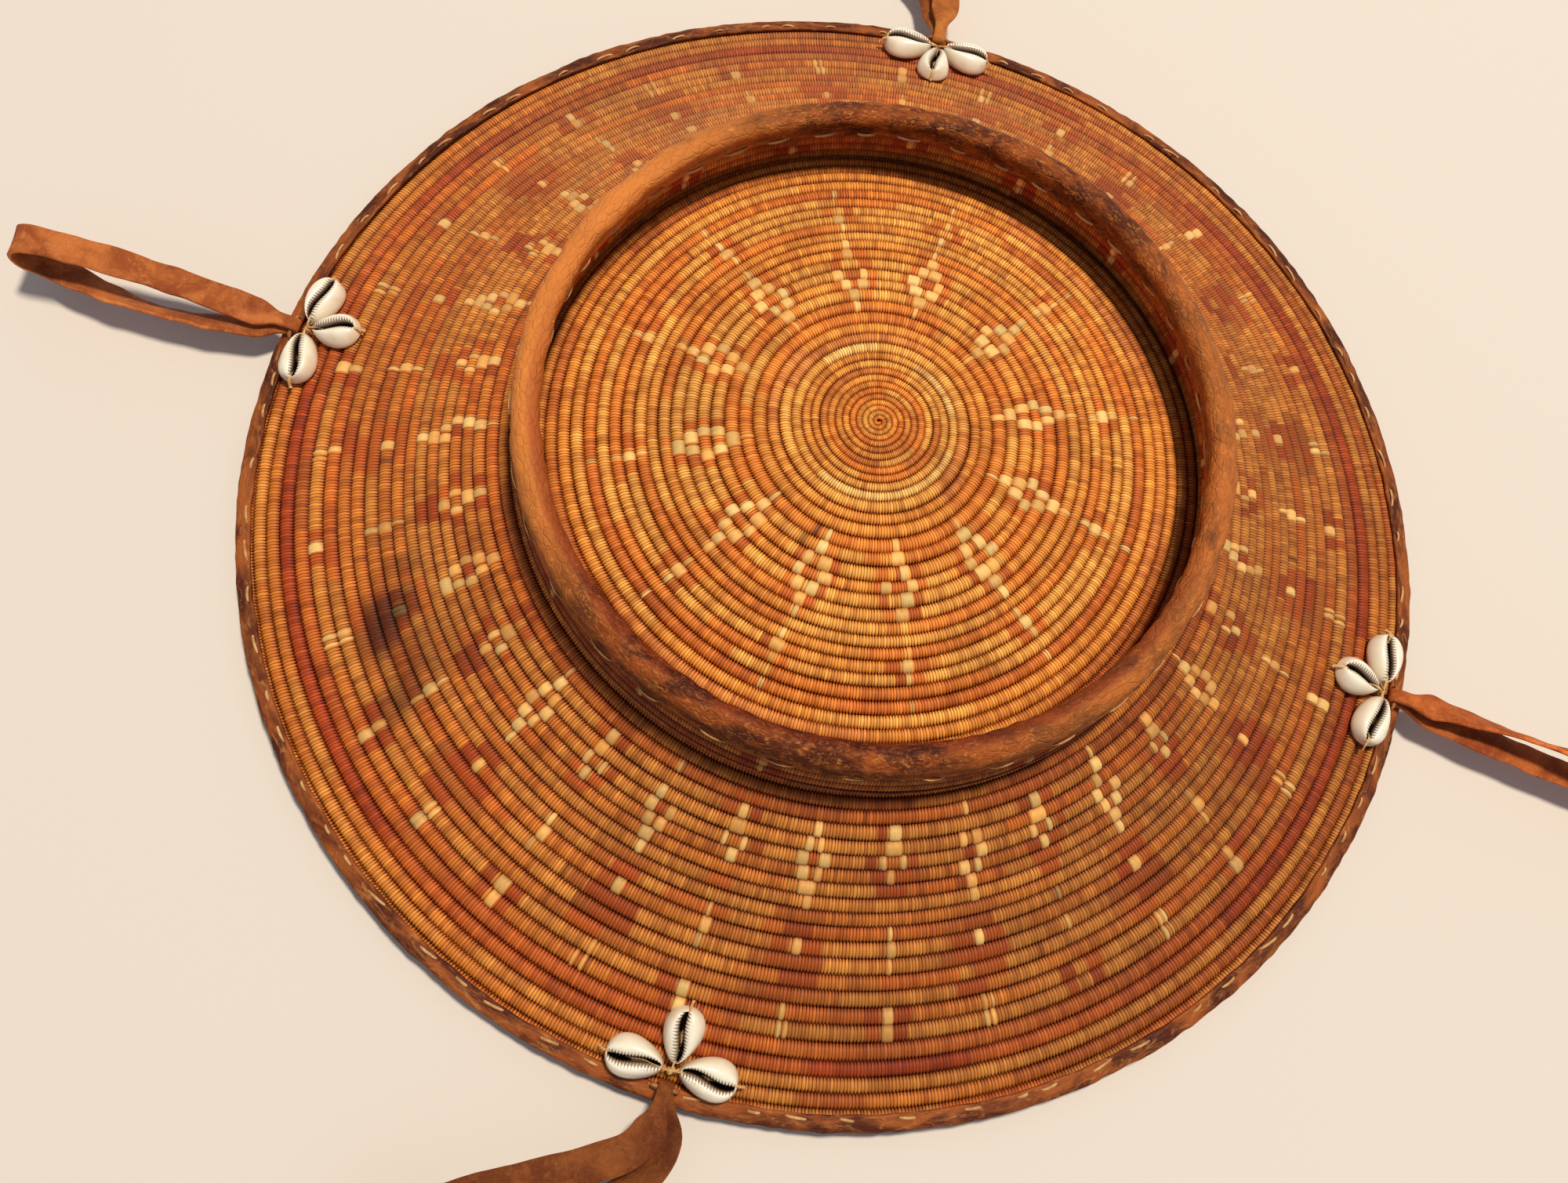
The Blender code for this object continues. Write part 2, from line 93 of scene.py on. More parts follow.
class Bench:
    def __init__(self, tree):
        self.tree = tree

    def pick(self, sockets, name):
        if isinstance(name, int):
            return sockets[name]
        for socket in sockets:
            if socket.identifier == name:
                return socket
        return sockets[name]

    def add(self, kind, settings=None, values=None, out=0):
        node = self.tree.nodes.new(kind)
        for name, setting in (settings or {}).items():
            setattr(node, name, setting)
        for name, value in (values or {}).items():
            socket = self.pick(node.inputs, name)
            if isinstance(value, Wire):
                self.tree.links.new(value.socket, socket)
            else:
                socket.default_value = value
        return Wire(self, self.pick(node.outputs, out))

    def math(self, operation, *values):
        return self.add("ShaderNodeMath", {"operation": operation}, dict(enumerate(values)))

    def vector(self, operation, *values, out=0):
        return self.add("ShaderNodeVectorMath", {"operation": operation}, dict(enumerate(values)), out)

    def scaled(self, vector, factor):
        return self.add("ShaderNodeVectorMath", {"operation": "SCALE"}, {0: vector, "Scale": factor})

    def mix(self, factor, first, second, blend="MIX"):
        values = {"Factor_Float": factor, "A_Color": first, "B_Color": second}
        return self.add("ShaderNodeMix", {"data_type": "RGBA", "blend_type": blend}, values, "Result_Color")

    def between(self, value, low, high, start=0.0, end=1.0):
        values = {"Value": value, "From Min": low, "From Max": high, "To Min": start, "To Max": end}
        return self.add("ShaderNodeMapRange", {"interpolation_type": "SMOOTHSTEP"}, values, "Result")

    def noise(self, place, scale, detail, roughness, distortion=0.0):
        values = {"Vector": place, "Scale": scale, "Detail": detail, "Roughness": roughness,
                  "Distortion": distortion}
        return self.add("ShaderNodeTexNoise", {}, values)

    def here(self):
        return self.add("ShaderNodeTexCoord", out="Object")

    def parts(self, place):
        return [self.add("ShaderNodeSeparateXYZ", {}, {"Vector": place}, axis) for axis in "XYZ"]

    def point(self, x, y, z):
        return self.add("ShaderNodeCombineXYZ", {}, {"X": x, "Y": y, "Z": z})

    def read(self, name, out="Fac"):
        return self.add("ShaderNodeAttribute", {"attribute_name": name}, {}, out)

    def stored(self, name, kind):
        return self.add("GeometryNodeInputNamedAttribute", {"data_type": kind}, {"Name": name})


def tone(red, green, blue):
    # a colour as a screen shows it, 0 to 255, made linear
    parts = (part / 255.0 for part in (red, green, blue))
    return (*(p / 12.92 if p <= 0.04045 else ((p + 0.055) / 1.055) ** 2.4 for p in parts), 1.0)


def newMaterial(name):
    material = bpy.data.materials.new(name)
    material.use_nodes = True
    material.node_tree.nodes.clear()
    return material, Bench(material.node_tree)


def finishMaterial(bench, colour, roughness, height, bump, shine, coat=()):
    strength, distance = bump
    relief = bench.add("ShaderNodeBump", {}, {"Height": height, "Strength": strength, "Distance": distance})
    values = {"Base Color": colour, "Roughness": roughness, "Normal": relief, "Specular IOR Level": shine}
    shader = bench.add("ShaderNodeBsdfPrincipled", {}, {**values, **dict(coat)}, "BSDF")
    output = bench.tree.nodes.new("ShaderNodeOutputMaterial")
    bench.tree.links.new(shader.socket, output.inputs["Surface"])


# The wall's middle line, as the solids have it, from the middle of the bottom to the rim
wall = {
    "halfThickness": 0.0025,
    "domeRadius": 0.108, "domeDrop": 0.0167, "wallDrop": 0.0580,
    "topSweep": 0.0317, "rimSweep": 0.0697, "rimSlope": 17.8,
    "endRadius": 0.218191, "endHeight": 0.004266,
    "samples": 1500,
}


def middleLine():
    slope = math.radians(wall["rimSlope"])
    edgeHeight = wall["endHeight"] + wall["wallDrop"]
    domeRadius, drop = wall["domeRadius"], wall["domeDrop"]
    radius = np.linspace(0.0, domeRadius, wall["samples"], endpoint=False)
    dome = np.stack([radius, edgeHeight + drop * (1.0 - (radius / domeRadius) ** 2)], 1)
    along = np.array([1.0, -2.0 * drop / domeRadius])
    along /= np.linalg.norm(along)
    start = np.array([domeRadius, edgeHeight])
    end = np.array([wall["endRadius"], wall["endHeight"]])
    first = start + along * wall["topSweep"]
    second = end - np.array([math.cos(slope), -math.sin(slope)]) * wall["rimSweep"]
    share = np.linspace(0.0, 1.0, wall["samples"])[:, None]
    left = 1.0 - share
    sweep = (start * left ** 3 + first * 3 * share * left ** 2 + second * 3 * share ** 2 * left
             + end * share ** 3)
    points = np.concatenate([dome, sweep])
    steps = np.linalg.norm(np.diff(points, axis=0), axis=1)
    lengths = np.concatenate([[0.0], np.cumsum(steps)])
    tangents = np.gradient(points, axis=0)
    tangents /= np.linalg.norm(tangents, axis=1)[:, None]
    return points, lengths, tangents


linePoints, lineLengths, lineTangents = middleLine()
lineEnd = lineLengths[-1]


def wallAt(distance, offset=0.0):
    # radius and height at this distance from the middle, moved out along the normal
    radius = np.interp(distance, lineLengths, linePoints[:, 0])
    height = np.interp(distance, lineLengths, linePoints[:, 1])
    along = np.interp(distance, lineLengths, lineTangents[:, 0])
    rise = np.interp(distance, lineLengths, lineTangents[:, 1])
    return radius - rise * offset, height + along * offset, along, rise


def distanceAt(radius):
    return np.interp(radius, linePoints[:, 0], lineLengths)


# Pieces

def plainPiece(name, mesh, body, nodes=()):
    piece = bpy.data.objects.new(name, mesh)
    bpy.context.scene.collection.objects.link(piece)
    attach(piece, body)
    if nodes:
        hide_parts(*nodes)
    return piece


def faceOut(mesh):
    # a closed mesh encloses a positive volume when its faces look outwards
    mesh.calc_loop_triangles()
    corners = np.empty(len(mesh.loop_triangles) * 3, np.int32)
    mesh.loop_triangles.foreach_get("vertices", corners)
    places = np.empty(len(mesh.vertices) * 3, np.float32)
    mesh.vertices.foreach_get("co", places)
    a, b, c = places.reshape(-1, 3)[corners.reshape(-1, 3)].transpose(1, 0, 2).astype(float)
    if np.einsum("ij,ij->i", a, np.cross(b, c)).sum() < 0.0:
        mesh.flip_normals()
    return mesh


def loftMesh(name, rings, material, closed=True):
    # a mesh from rings of points. The last ring joins the first, or else both are capped.
    rings = np.asarray(rings, float)
    count, around = rings.shape[:2]
    index = np.arange(count * around).reshape(count, around)
    after = np.roll(index, -1, 0) if closed else index[1:]
    before = index if closed else index[:-1]
    quads = np.stack([before, np.roll(before, -1, 1), np.roll(after, -1, 1), after], -1).reshape(-1, 4)
    faces = quads.tolist()
    if not closed:
        faces += [index[0].tolist(), index[-1][::-1].tolist()]
    mesh = bpy.data.meshes.new(name)
    mesh.from_pydata(rings.reshape(-1, 3).tolist(), [], faces)
    mesh.materials.append(material)
    mesh.shade_smooth()
    return faceOut(mesh)


def spin(radius, height, turn):
    # an outline for each turn, set round the basket's axis
    return np.stack([radius * np.cos(turn)[:, None], radius * np.sin(turn)[:, None], height], -1)


def storePoints(mesh, name, values, kind="FLOAT"):
    slot = {"FLOAT": "value", "FLOAT_VECTOR": "vector", "FLOAT_COLOR": "color"}[kind]
    values = np.asarray(values, np.float32)
    if kind == "FLOAT_COLOR":
        values = np.insert(values.reshape(-1, 3), 3, 1.0, 1)
    mesh.attributes.new(name, kind, "POINT").data.foreach_set(slot, values.ravel())


def toUnit(vectors):
    return vectors / np.linalg.norm(vectors, axis=-1)[..., None]


def waves(along, lengths, seed):
    # a smooth wander between about -1 and 1
    draw = np.random.RandomState(seed)
    total = np.zeros_like(along)
    for length in lengths:
        total += np.sin(2.0 * math.pi * along / length + draw.uniform(0.0, 6.28))
    return total / len(lengths)


def roughen(points, size, seed):
    # smooth noise at each point, about -0.5 to 0.5
    shift = Vector((seed * 3.1, seed * 1.7, seed * 0.9))
    values = [noise.noise(Vector(p) / size + shift) for p in points.reshape(-1, 3)]
    return np.array(values).reshape(points.shape[:-1])


def smoothShare(value, low=0.0, high=1.0):
    share = np.clip((value - low) / (high - low), 0.0, 1.0)
    return share * share * (3.0 - 2.0 * share)


# Geometry nodes

def newTree(name, inputs):
    tree = bpy.data.node_groups.new(name, "GeometryNodeTree")
    tree.interface.new_socket("Geometry", in_out="INPUT", socket_type="NodeSocketGeometry")
    for label, kind in inputs.items():
        tree.interface.new_socket(label, in_out="INPUT", socket_type="NodeSocket" + kind)
    tree.interface.new_socket("Geometry", in_out="OUTPUT", socket_type="NodeSocketGeometry")
    bench = Bench(tree)
    enter = tree.nodes.new("NodeGroupInput")
    wires = {socket.name: Wire(bench, socket) for socket in enter.outputs if socket.name}
    return tree, bench, wires


def endTree(bench, geometry, material):
    real = bench.add("GeometryNodeRealizeInstances", {}, {"Geometry": geometry})
    smooth = bench.add("GeometryNodeSetShadeSmooth", {}, {"Geometry": real})
    done = bench.add("GeometryNodeSetMaterial", {}, {"Geometry": smooth, "Material": material})
    leave = bench.tree.nodes.new("NodeGroupOutput")
    bench.tree.links.new(done.socket, leave.inputs[0])


def growMesh(name, seedMesh, tree, settings):
    # runs a tree on a seed mesh and returns what it makes as a plain mesh
    seed = bpy.data.objects.new(name + "Seed", seedMesh)
    bpy.context.scene.collection.objects.link(seed)
    modifier = seed.modifiers.new("grow", "NODES")
    modifier.node_group = tree
    for item in tree.interface.items_tree:
        if item.in_out == "INPUT" and item.name in settings:
            modifier[item.identifier] = settings[item.name]
    bpy.context.view_layer.update()
    ready = seed.evaluated_get(bpy.context.evaluated_depsgraph_get())
    mesh = bpy.data.meshes.new_from_object(ready)
    mesh.name = name
    seed.modifiers.remove(modifier)
    bpy.data.objects.remove(seed, do_unlink=True)
    return faceOut(mesh)


def coilTree():
    # sweeps a ridged, stitched row along a path that carries its own directions and sizes
    inputs = {"Sides": "Int", "Upper Sides": "Int", "Half Thickness": "Float", "Ridge Share": "Float",
              "Groove Depth": "Float", "Tooth Share": "Float", "Bead Height": "Float", "Material": "Material"}
    tree, bench, given = newTree("coil row", inputs)
    curve = bench.add("GeometryNodeMeshToCurve", {}, {"Mesh": given["Geometry"]})
    circle = bench.add("GeometryNodeCurvePrimitiveCircle", {"mode": "RADIUS"},
                       {"Resolution": given["Sides"], "Radius": 0.001})
    swept = bench.add("GeometryNodeCurveToMesh", {},
                      {"Curve": curve, "Profile Curve": circle, "Fill Caps": True})
    index = bench.add("GeometryNodeInputIndex")
    section = bench.math("FLOOR", (index + 0.5) / given["Sides"])
    side = index - section * given["Sides"]
    upper = given["Upper Sides"]

    def sample(name, kind="FLOAT"):
        value = bench.add("GeometryNodeInputPosition") if name == "position" else bench.stored(name, kind)
        return bench.add("GeometryNodeSampleIndex", {"data_type": kind, "domain": "POINT"},
                         {"Geometry": given["Geometry"], "Value": value, "Index": section})

    pastTop = bench.math("MAXIMUM", side - upper, 0.0)
    under = bench.math("GREATER_THAN", side, upper)
    lowerStep = 180.0 / (given["Sides"] - upper)
    upperStep = 180.0 / upper
    angle = bench.math("RADIANS", (side - pastTop) * upperStep + pastTop * lowerStep)
    facing = 1.0 - under * 2.0
    cosine, sine = bench.math("COSINE", angle), bench.math("SINE", angle)
    halfWidth = sample("halfWidth")
    groove = sample("groove")
    ridge = halfWidth * given["Ridge Share"]
    tooth = 1.0 + given["Tooth Share"] * (0.5 - groove)
    reach = cosine * halfWidth * tooth
    rise = facing * (given["Half Thickness"] - ridge) + sine * ridge
    rise = rise + sine * (sample("bead") * given["Bead Height"] - groove * given["Groove Depth"])
    across = bench.scaled(sample("across", "FLOAT_VECTOR"), reach)
    outward = bench.scaled(sample("outward", "FLOAT_VECTOR"), rise)
    place = bench.vector("ADD", bench.vector("ADD", sample("position", "FLOAT_VECTOR"), across), outward)
    moved = bench.add("GeometryNodeSetPosition", {}, {"Geometry": swept, "Position": place})
    kept = {"wrapColour": sample("wrapColour", "FLOAT_COLOR"), "stitchCount": sample("stitchCount"),
            "bead": sample("bead"), "rowAngle": angle}
    for name, value in kept.items():
        kind = "FLOAT_COLOR" if name == "wrapColour" else "FLOAT"
        moved = bench.add("GeometryNodeStoreNamedAttribute", {"data_type": kind, "domain": "POINT"},
                          {"Geometry": moved, "Name": name, "Value": value})
    endTree(bench, moved, given["Material"])
    return tree


# The straw's finish. Its colour comes stitch by stitch from the coil itself.
strawFinish = {
    # painted shade: near-black in the gaps between the rows
    "gapShadeColour": tone(46, 16, 4),
    "gapShadeStart": 0.80, "gapShadeEnd": 1.06, "gapShadeShare": 0.80, "gapShadeTeeth": 0.22,
    # painted shade: each row darkens towards its flanks
    "flankShadeColour": tone(188, 128, 92), "flankShadeStart": 0.40, "flankShadeShare": 0.60,
    # painted shade: dark grooves between the stitches
    "grooveShadeColour": tone(104, 42, 10), "grooveShadeStart": 0.48, "grooveShadeShare": 0.66, "beadClear": 5.0,
    "fibresAcross": 5.0, "fibresAlong": 0.6, "fibreRange": (0.3, 0.7), "fibreShade": (0.70, 1.08),
    "soilScale": 30.0, "soilColour": tone(96, 42, 16), "soilRange": (0.48, 0.72), "soilShare": 0.30,
    # painted light: the foot's inner side is brightened
    "footInsidePaintedLight": (1.7, 1.5, 1.3, 1.0), "footInsidePaintedLightAt": (0.1062, 0.1082, 0.1122, 0.1130),
    "footInsidePaintedLightOver": (0.0690, 0.0705),
    # painted shade: the foot's outer side under its roll is darkened
    "footOutsidePaintedShade": (0.70, 0.60, 0.50, 1.0), "footOutsidePaintedShadeAt": (0.1134, 0.1142, 0.1196, 0.1215),
    "footOutsidePaintedShadeOver": (0.0600, 0.0620),
    "roughness": (0.46, 0.72), "beadPolish": 0.08, "shine": 0.26,
    "fibreBump": 0.3, "bump": (0.6, 0.00035),
}


def makeStraw():
    finish = strawFinish
    material, bench = newMaterial("wrappedStraw")
    along, rowAngle, bead = (bench.read(name) for name in ("stitchCount", "rowAngle", "bead"))
    fibrePlace = bench.point(along * finish["fibresAcross"], rowAngle * finish["fibresAlong"], 0.0)
    fibre = bench.noise(fibrePlace, 1.0, 2.0, 0.6)
    shade = bench.between(fibre, *finish["fibreRange"], *finish["fibreShade"])
    colour = bench.mix(1.0, bench.read("wrapColour", "Color"), bench.point(shade, shade, shade), "MULTIPLY")
    place = bench.here()
    soil = bench.between(bench.noise(place, finish["soilScale"], 5.0, 0.6), *finish["soilRange"])
    colour = bench.mix(soil * finish["soilShare"], colour, finish["soilColour"])
    # painted light brightens the foot's inner side, and painted shade darkens its outer side under the roll
    east, north, height = bench.parts(place)
    fromAxis = bench.vector("LENGTH", bench.point(east, north, 0.0), out="Value")
    for name in ("footInsidePaintedLight", "footOutsidePaintedShade"):
        start, full, end, gone = finish[name + "At"]
        band = bench.between(fromAxis, start, full) * bench.between(fromAxis, gone, end)
        band = band * bench.between(height, *finish[name + "Over"])
        colour = bench.mix(band, colour, finish[name], "MULTIPLY")
    # each stitch runs from one whole count to the next, and the groove between them gets painted shade
    fromGroove = bench.math("ABSOLUTE", bench.math("FRACT", along) - 0.5) * 2.0
    plain = 1.0 - bench.math("MINIMUM", bead * finish["beadClear"], 1.0)
    groove = bench.between(fromGroove, finish["grooveShadeStart"], 1.0) * plain
    colour = bench.mix(groove * finish["grooveShadeShare"], colour, finish["grooveShadeColour"])
    edge = bench.math("ABSOLUTE", bench.math("COSINE", rowAngle)) + groove * finish["gapShadeTeeth"]
    # painted shade on each row's flanks
    flankShade = bench.between(edge, finish["flankShadeStart"], 1.0) * finish["flankShadeShare"]
    colour = bench.mix(flankShade, colour, finish["flankShadeColour"], "MULTIPLY")
    # painted shade in the gaps between the rows
    gapShade = bench.between(edge, finish["gapShadeStart"], finish["gapShadeEnd"]) * finish["gapShadeShare"]
    colour = bench.mix(gapShade, colour, finish["gapShadeColour"])
    low, high = finish["roughness"]
    rough = low + (high - low) * fibre - bead * finish["beadPolish"]
    relief = fibre * finish["fibreBump"] - groove
    finishMaterial(bench, colour, rough, relief, finish["bump"], finish["shine"])
    return material


straw = makeStraw()
coilRow = coilTree()

# Straw colours, as a screen shows them
wraps = {
    "golden": (252, 170, 74), "tan": (248, 154, 60), "orange": (246, 138, 50), "rust": (232, 122, 46),
    "brick": (208, 88, 32), "brown": (220, 124, 50), "cream": (255, 210, 130), "pale": (255, 194, 106),
    "pink": (240, 144, 66), "grey": (196, 138, 88), "umber": (120, 54, 18),
}
wraps = {name: np.array(tone(*colour)[:3]) for name, colour in wraps.items()}

coil = {
    "pitchRadii": (0.0, 0.010, 0.030, 0.100, 0.200),
    "pitches": (0.00040, 0.00070, 0.00092, 0.00100, 0.00115),
    "stitchJitter": 0.14, "fineStep": 0.002,
    "sides": 9, "upperSides": 5,
    "ridgeShare": 0.90, "grooveDepth": 0.00030, "toothShare": 0.30, "beadHeight": 0.00026,
    "overlap": 1.05, "shadeHue": (0.8, 1.15, 1.4),
    "stitchShade": 0.26, "runShade": 0.22, "longestRun": 6, "splintShade": (0.90, 1.08),
    "longestPiece": 10600,
}

# Row edges: on the bottom as radii in mm at rowAzimuth, on the wall as mm in from the rim at wallAzimuth
dish = {
    "rowAzimuth": 7.5, "wallAzimuth": 260.0,
    "middleEdges": (0.0, 1.0, 2.7, 4.5, 6.4, 8.5, 10.7, 13.0, 15.5),
    "bottomEdges": (18.1, 20.6, 23.6, 26.5, 30.8, 34.2, 38.6, 43.4, 47.6, 52.7, 56.3, 61.2, 65.4, 69.7,
                    73.4, 77.2, 81.4, 85.2, 89.5, 93.6, 97.9, 102.3, 106.3),
    "hiddenRows": 4, "firstTurn": -9.0, "lastGap": 0.2,
    "wallEdges": (108.9, 103.8, 98.5, 93.3, 88.2, 83.1, 78.0, 72.9, 67.9, 62.5, 56.6, 50.7, 45.1, 39.4,
                  33.5, 27.5, 21.4, 15.9, 10.7, 5.5),
    "bottomShift": 0.20, "wallShift": 0.5,
    "wander": 0.00022, "wanderLengths": (0.31, 0.47, 0.083, 0.19), "wanderFrom": (0.004, 0.02),
    "lift": 0.00016, "liftLengths": (0.26, 0.11, 0.061, 0.39),
    "splints": ("golden", "tan", "orange", "golden", "tan", "golden"), "splintRun": (18, 80),
    "middleSplints": ("tan", "golden", "brown", "orange"), "middleRun": (8, 30),
}
wallTurn = (dish["rowAzimuth"] - dish["wallAzimuth"]) / 360.0 % 1.0
lastBottomTurn = len(dish["bottomEdges"]) - 1
firstWallTurn = lastBottomTurn + dish["hiddenRows"] + wallTurn
rimTurn = firstWallTurn + len(dish["wallEdges"])


def dishEdges():
    middle, bottom, onWall = dish["middleEdges"], dish["bottomEdges"], dish["wallEdges"]
    turns = [i - len(middle) for i in range(len(middle) + len(bottom))]
    turns += [firstWallTurn + i for i in range(len(onWall))] + [rimTurn]
    places = [float(distanceAt(r / 1000.0)) for r in middle + bottom]
    places += [lineEnd - d / 1000.0 for d in onWall + (0.0,)]
    return np.array(turns, float), np.array(places)


edgeTurns, edgePlaces = dishEdges()


def stitchTurns(turns, radius):
    # turn counts of grooves and crests, a groove first, at an even pitch along the coil
    pitch = np.interp(radius, coil["pitchRadii"], coil["pitches"])
    steps = np.diff(turns) * math.pi * (radius[1:] + radius[:-1]) / ((pitch[1:] + pitch[:-1]) / 2)
    count = np.concatenate([[0.0], np.cumsum(steps)])
    number = int(count[-1])
    marks = np.arange(number * 2 + 1) / 2.0
    marks[2:-1:2] += chance.uniform(-1, 1, number - 1) * coil["stitchJitter"]
    return np.interp(marks, count, turns)


def coilFrames(turns, azimuth, radius, height, outRadial, outRise):
    # centres, directions outward and directions across the row, growing away from the start
    angle = np.radians(azimuth - 360.0 * turns)
    cosine, sine = np.cos(angle), np.sin(angle)
    centre = np.stack([radius * cosine, radius * sine, height], 1)
    outward = np.stack([outRadial * cosine, outRadial * sine, outRise], 1)
    across = np.stack([outRise * cosine, outRise * sine, -outRadial], 1)
    return centre, outward, across


def strandTones(number, names, run, seed):
    # neighbouring stitches come from one splint, so they share a tone
    draw = np.random.RandomState(seed)
    colours = np.empty((number, 3))
    start = 0
    while start < number:
        end = start + draw.randint(*run)
        colours[start:end] = wraps[names[draw.randint(len(names))]] * draw.uniform(*coil["splintShade"])
        start = end
    return colours


def turnOfMark(row, shift, azimuth, reference):
    return row - shift + ((reference - azimuth) / 360.0 + shift) % 1.0


# what each dyed or pale stitch fades to
wearsTo = {"cream": "golden", "pale": "golden", "brick": "orange", "brown": "tan", "orange": "tan"}

# Motifs on the bottom: row, degrees aside (two where it is on both sides), half width in mm, colour, rise
bottomMotif = {
    "splintRun": (14, 60), "wander": 0.6,
    "wear": (0.0, 0.80), "dyeWear": (0.30, 1.0), "missing": 0.08,
    "azimuths": (28.0, 60.0, 92.0, 118.0, 148.0, 178.0, 209.0, 239.0, 267.5, 297.5, 327.5, 357.5),
    "marks": (
        (6, 0.0, 0.6, "cream", 0.4), (7, 0.0, 2.0, "cream", 1.0), (7, (4.0, -4.0), 2.2, "orange", 0.0),
        (8, (2.8, -2.8), 1.8, "cream", 1.0), (8, 0.0, 0.7, "brick", 0.0), (8, (6.0, -6.0), 1.8, "brick", 0.0),
        (9, (4.4, -4.4), 1.8, "cream", 1.0), (9, 0.0, 2.4, "brick", 0.0), (9, (7.6, -7.6), 1.6, "brick", 0.0),
        (10, (2.2, -2.2), 1.8, "cream", 1.0), (10, (5.2, -5.2), 2.0, "brick", 0.0),
        (11, 0.0, 2.0, "cream", 1.0), (11, (3.4, -3.4), 2.2, "brick", 0.0), (12, 0.0, 0.9, "cream", 0.5),
        (12, (2.4, -2.4), 2.0, "orange", 0.0), (14, 0.0, 0.6, "cream", 0.2), (15, 0.0, 2.0, "cream", 1.0),
        (15, (3.2, -3.2), 2.6, "brick", 0.0), (16, 0.0, 0.6, "cream", 0.2),
        (16, (2.2, -2.2), 2.0, "brick", 0.0), (18, 0.0, 0.6, "cream", 0.0),
    ),
    "rowColours": {
        2: ("golden", "pale"), 3: ("golden", "pink"), 4: ("pink", "tan"), 5: ("tan", "orange"),
        6: ("golden", "orange"), 17: ("golden", "orange"), 18: ("rust", "orange"), 19: ("golden", "tan"),
        20: ("pink", "tan"), 21: ("tan", "brown"),
    },
}

# Motifs on the wall: row from the rim, place (a has the dark mark, b the pale one), then mm aside and so on
wallMotif = {
    "splintRun": (18, 70), "wander": 0.5,
    "wear": (0.0, 0.75), "dyeWear": (0.10, 0.80), "missing": 0.12,
    "count": 17, "first": 293.7,
    "marks": (
        (5, "a", 0.0, 1.8, "cream", 1.0), (5, "a", (4.4, -4.4), 2.4, "brick", 0.0),
        (5, "b", (1.4, -1.4), 0.6, "cream", 0.6), (6, "a", 0.0, 1.8, "cream", 1.0),
        (6, "a", (5.0, -5.0), 3.0, "brick", 0.0), (6, "b", 1.2, 0.8, "cream", 0.5),
        (6, "b", -1.2, 0.6, "cream", 0.5), (7, "b", 0.0, 13.0, "brown", 0.0),
        (7, "b", 4.0, 6.0, "brick", 0.0), (8, "b", 0.0, 13.0, "brown", 0.0),
        (8, "b", -3.0, 7.0, "brick", 0.0), (9, "a", 0.0, 0.7, "cream", 0.4),
        (9, "b", 0.0, 11.0, "brick", 0.0), (9, "b", 12.0, 3.0, "brown", 0.0),
        (10, "a", 0.0, 1.7, "cream", 0.9), (10, "b", 0.0, 1.6, "cream", 0.9),
        (10, "b", (5.0, -5.0), 3.4, "brick", 0.0), (11, "a", 0.0, 0.7, "cream", 0.4),
        (11, "b", 0.0, 5.0, "brick", 0.0), (11, "b", 9.0, 3.0, "orange", 0.0),
        (12, "b", 0.0, 9.0, "orange", 0.0), (13, "a", 0.0, 4.6, "brick", 0.0),
        (13, "b", 0.0, 1.4, "cream", 0.8), (14, "a", 0.0, 4.8, "brick", 0.0),
        (14, "b", 0.0, 2.2, "cream", 1.0), (15, "a", 0.0, 1.3, "cream", 0.8),
        (15, "a", (4.2, -4.2), 2.8, "brick", 0.0), (15, "b", (2.4, -2.4), 1.6, "cream", 1.0),
        (15, "b", 0.0, 0.8, "orange", 0.0), (16, "a", (2.8, -2.8), 0.9, "cream", 0.8),
        (16, "a", (7.4, -7.4), 1.8, "brick", 0.0), (16, "b", 0.0, 2.2, "brick", 0.0),
        (16, "b", (3.6, -3.6), 1.5, "cream", 1.0), (16, "a", 0.0, 1.8, "orange", 0.0),
        (17, "a", 0.0, 2.3, "pale", 1.0), (17, "a", 3.4, 1.0, "orange", 0.0),
        (17, "b", 2.2, 1.8, "cream", 0.8), (17, "b", -2.2, 1.4, "pale", 0.8),
        (18, "a", 0.0, 1.7, "cream", 1.0), (18, "a", (4.0, -4.0), 2.2, "brick", 0.0),
        (18, "b", 0.0, 1.7, "cream", 0.9), (19, "a", 0.0, 4.0, "brick", 0.0),
        (19, "a", 0.0, 0.5, "orange", 0.0), (19, "b", 0.0, 0.6, "cream", 0.3),
    ),
    "rowColours": {
        1: ("tan", "golden", "brown"), 2: ("golden", "tan"), 3: ("brick", "rust"),
        4: ("orange", "rust", "brown"), 7: ("golden", "tan"), 8: ("golden", "tan", "orange"),
        12: ("golden", "tan"), 19: ("orange", "brown"), 20: ("tan", "brown"), 21: ("tan", "brown"),
    },
}

# Dark stains: azimuth, distance from the middle in mm, half sizes in degrees and mm, strength
stains = (
    (262.5, 42.0, 1.6, 1.9, 0.85), (259.6, 45.6, 1.4, 1.9, 0.8), (219.0, 179.0, 2.2, 13.0, 0.86),
    (221.5, 186.0, 2.4, 8.0, 0.75), (225.5, 174.0, 4.8, 20.0, 0.38), (214.5, 170.0, 1.6, 8.0, 0.55),
    (229.0, 190.0, 2.0, 9.0, 0.45), (219.0, 208.0, 0.6, 2.6, 0.8), (222.0, 208.0, 0.8, 2.6, 0.8),
    (226.0, 208.0, 0.8, 2.6, 0.6), (205.0, 196.0, 0.5, 2.4, 0.5), (232.0, 175.0, 0.5, 2.6, 0.4),
)

# Scuffs, given the same way
scuffs = (
    (137.0, 150.0, 5.0, 12.0, 0.55), (146.0, 141.0, 3.0, 7.0, 0.6), (127.0, 142.0, 4.0, 7.0, 0.5),
    (131.0, 168.0, 6.0, 9.0, 0.35), (118.0, 148.0, 5.0, 8.0, 0.35), (152.0, 158.0, 5.0, 10.0, 0.3),
)

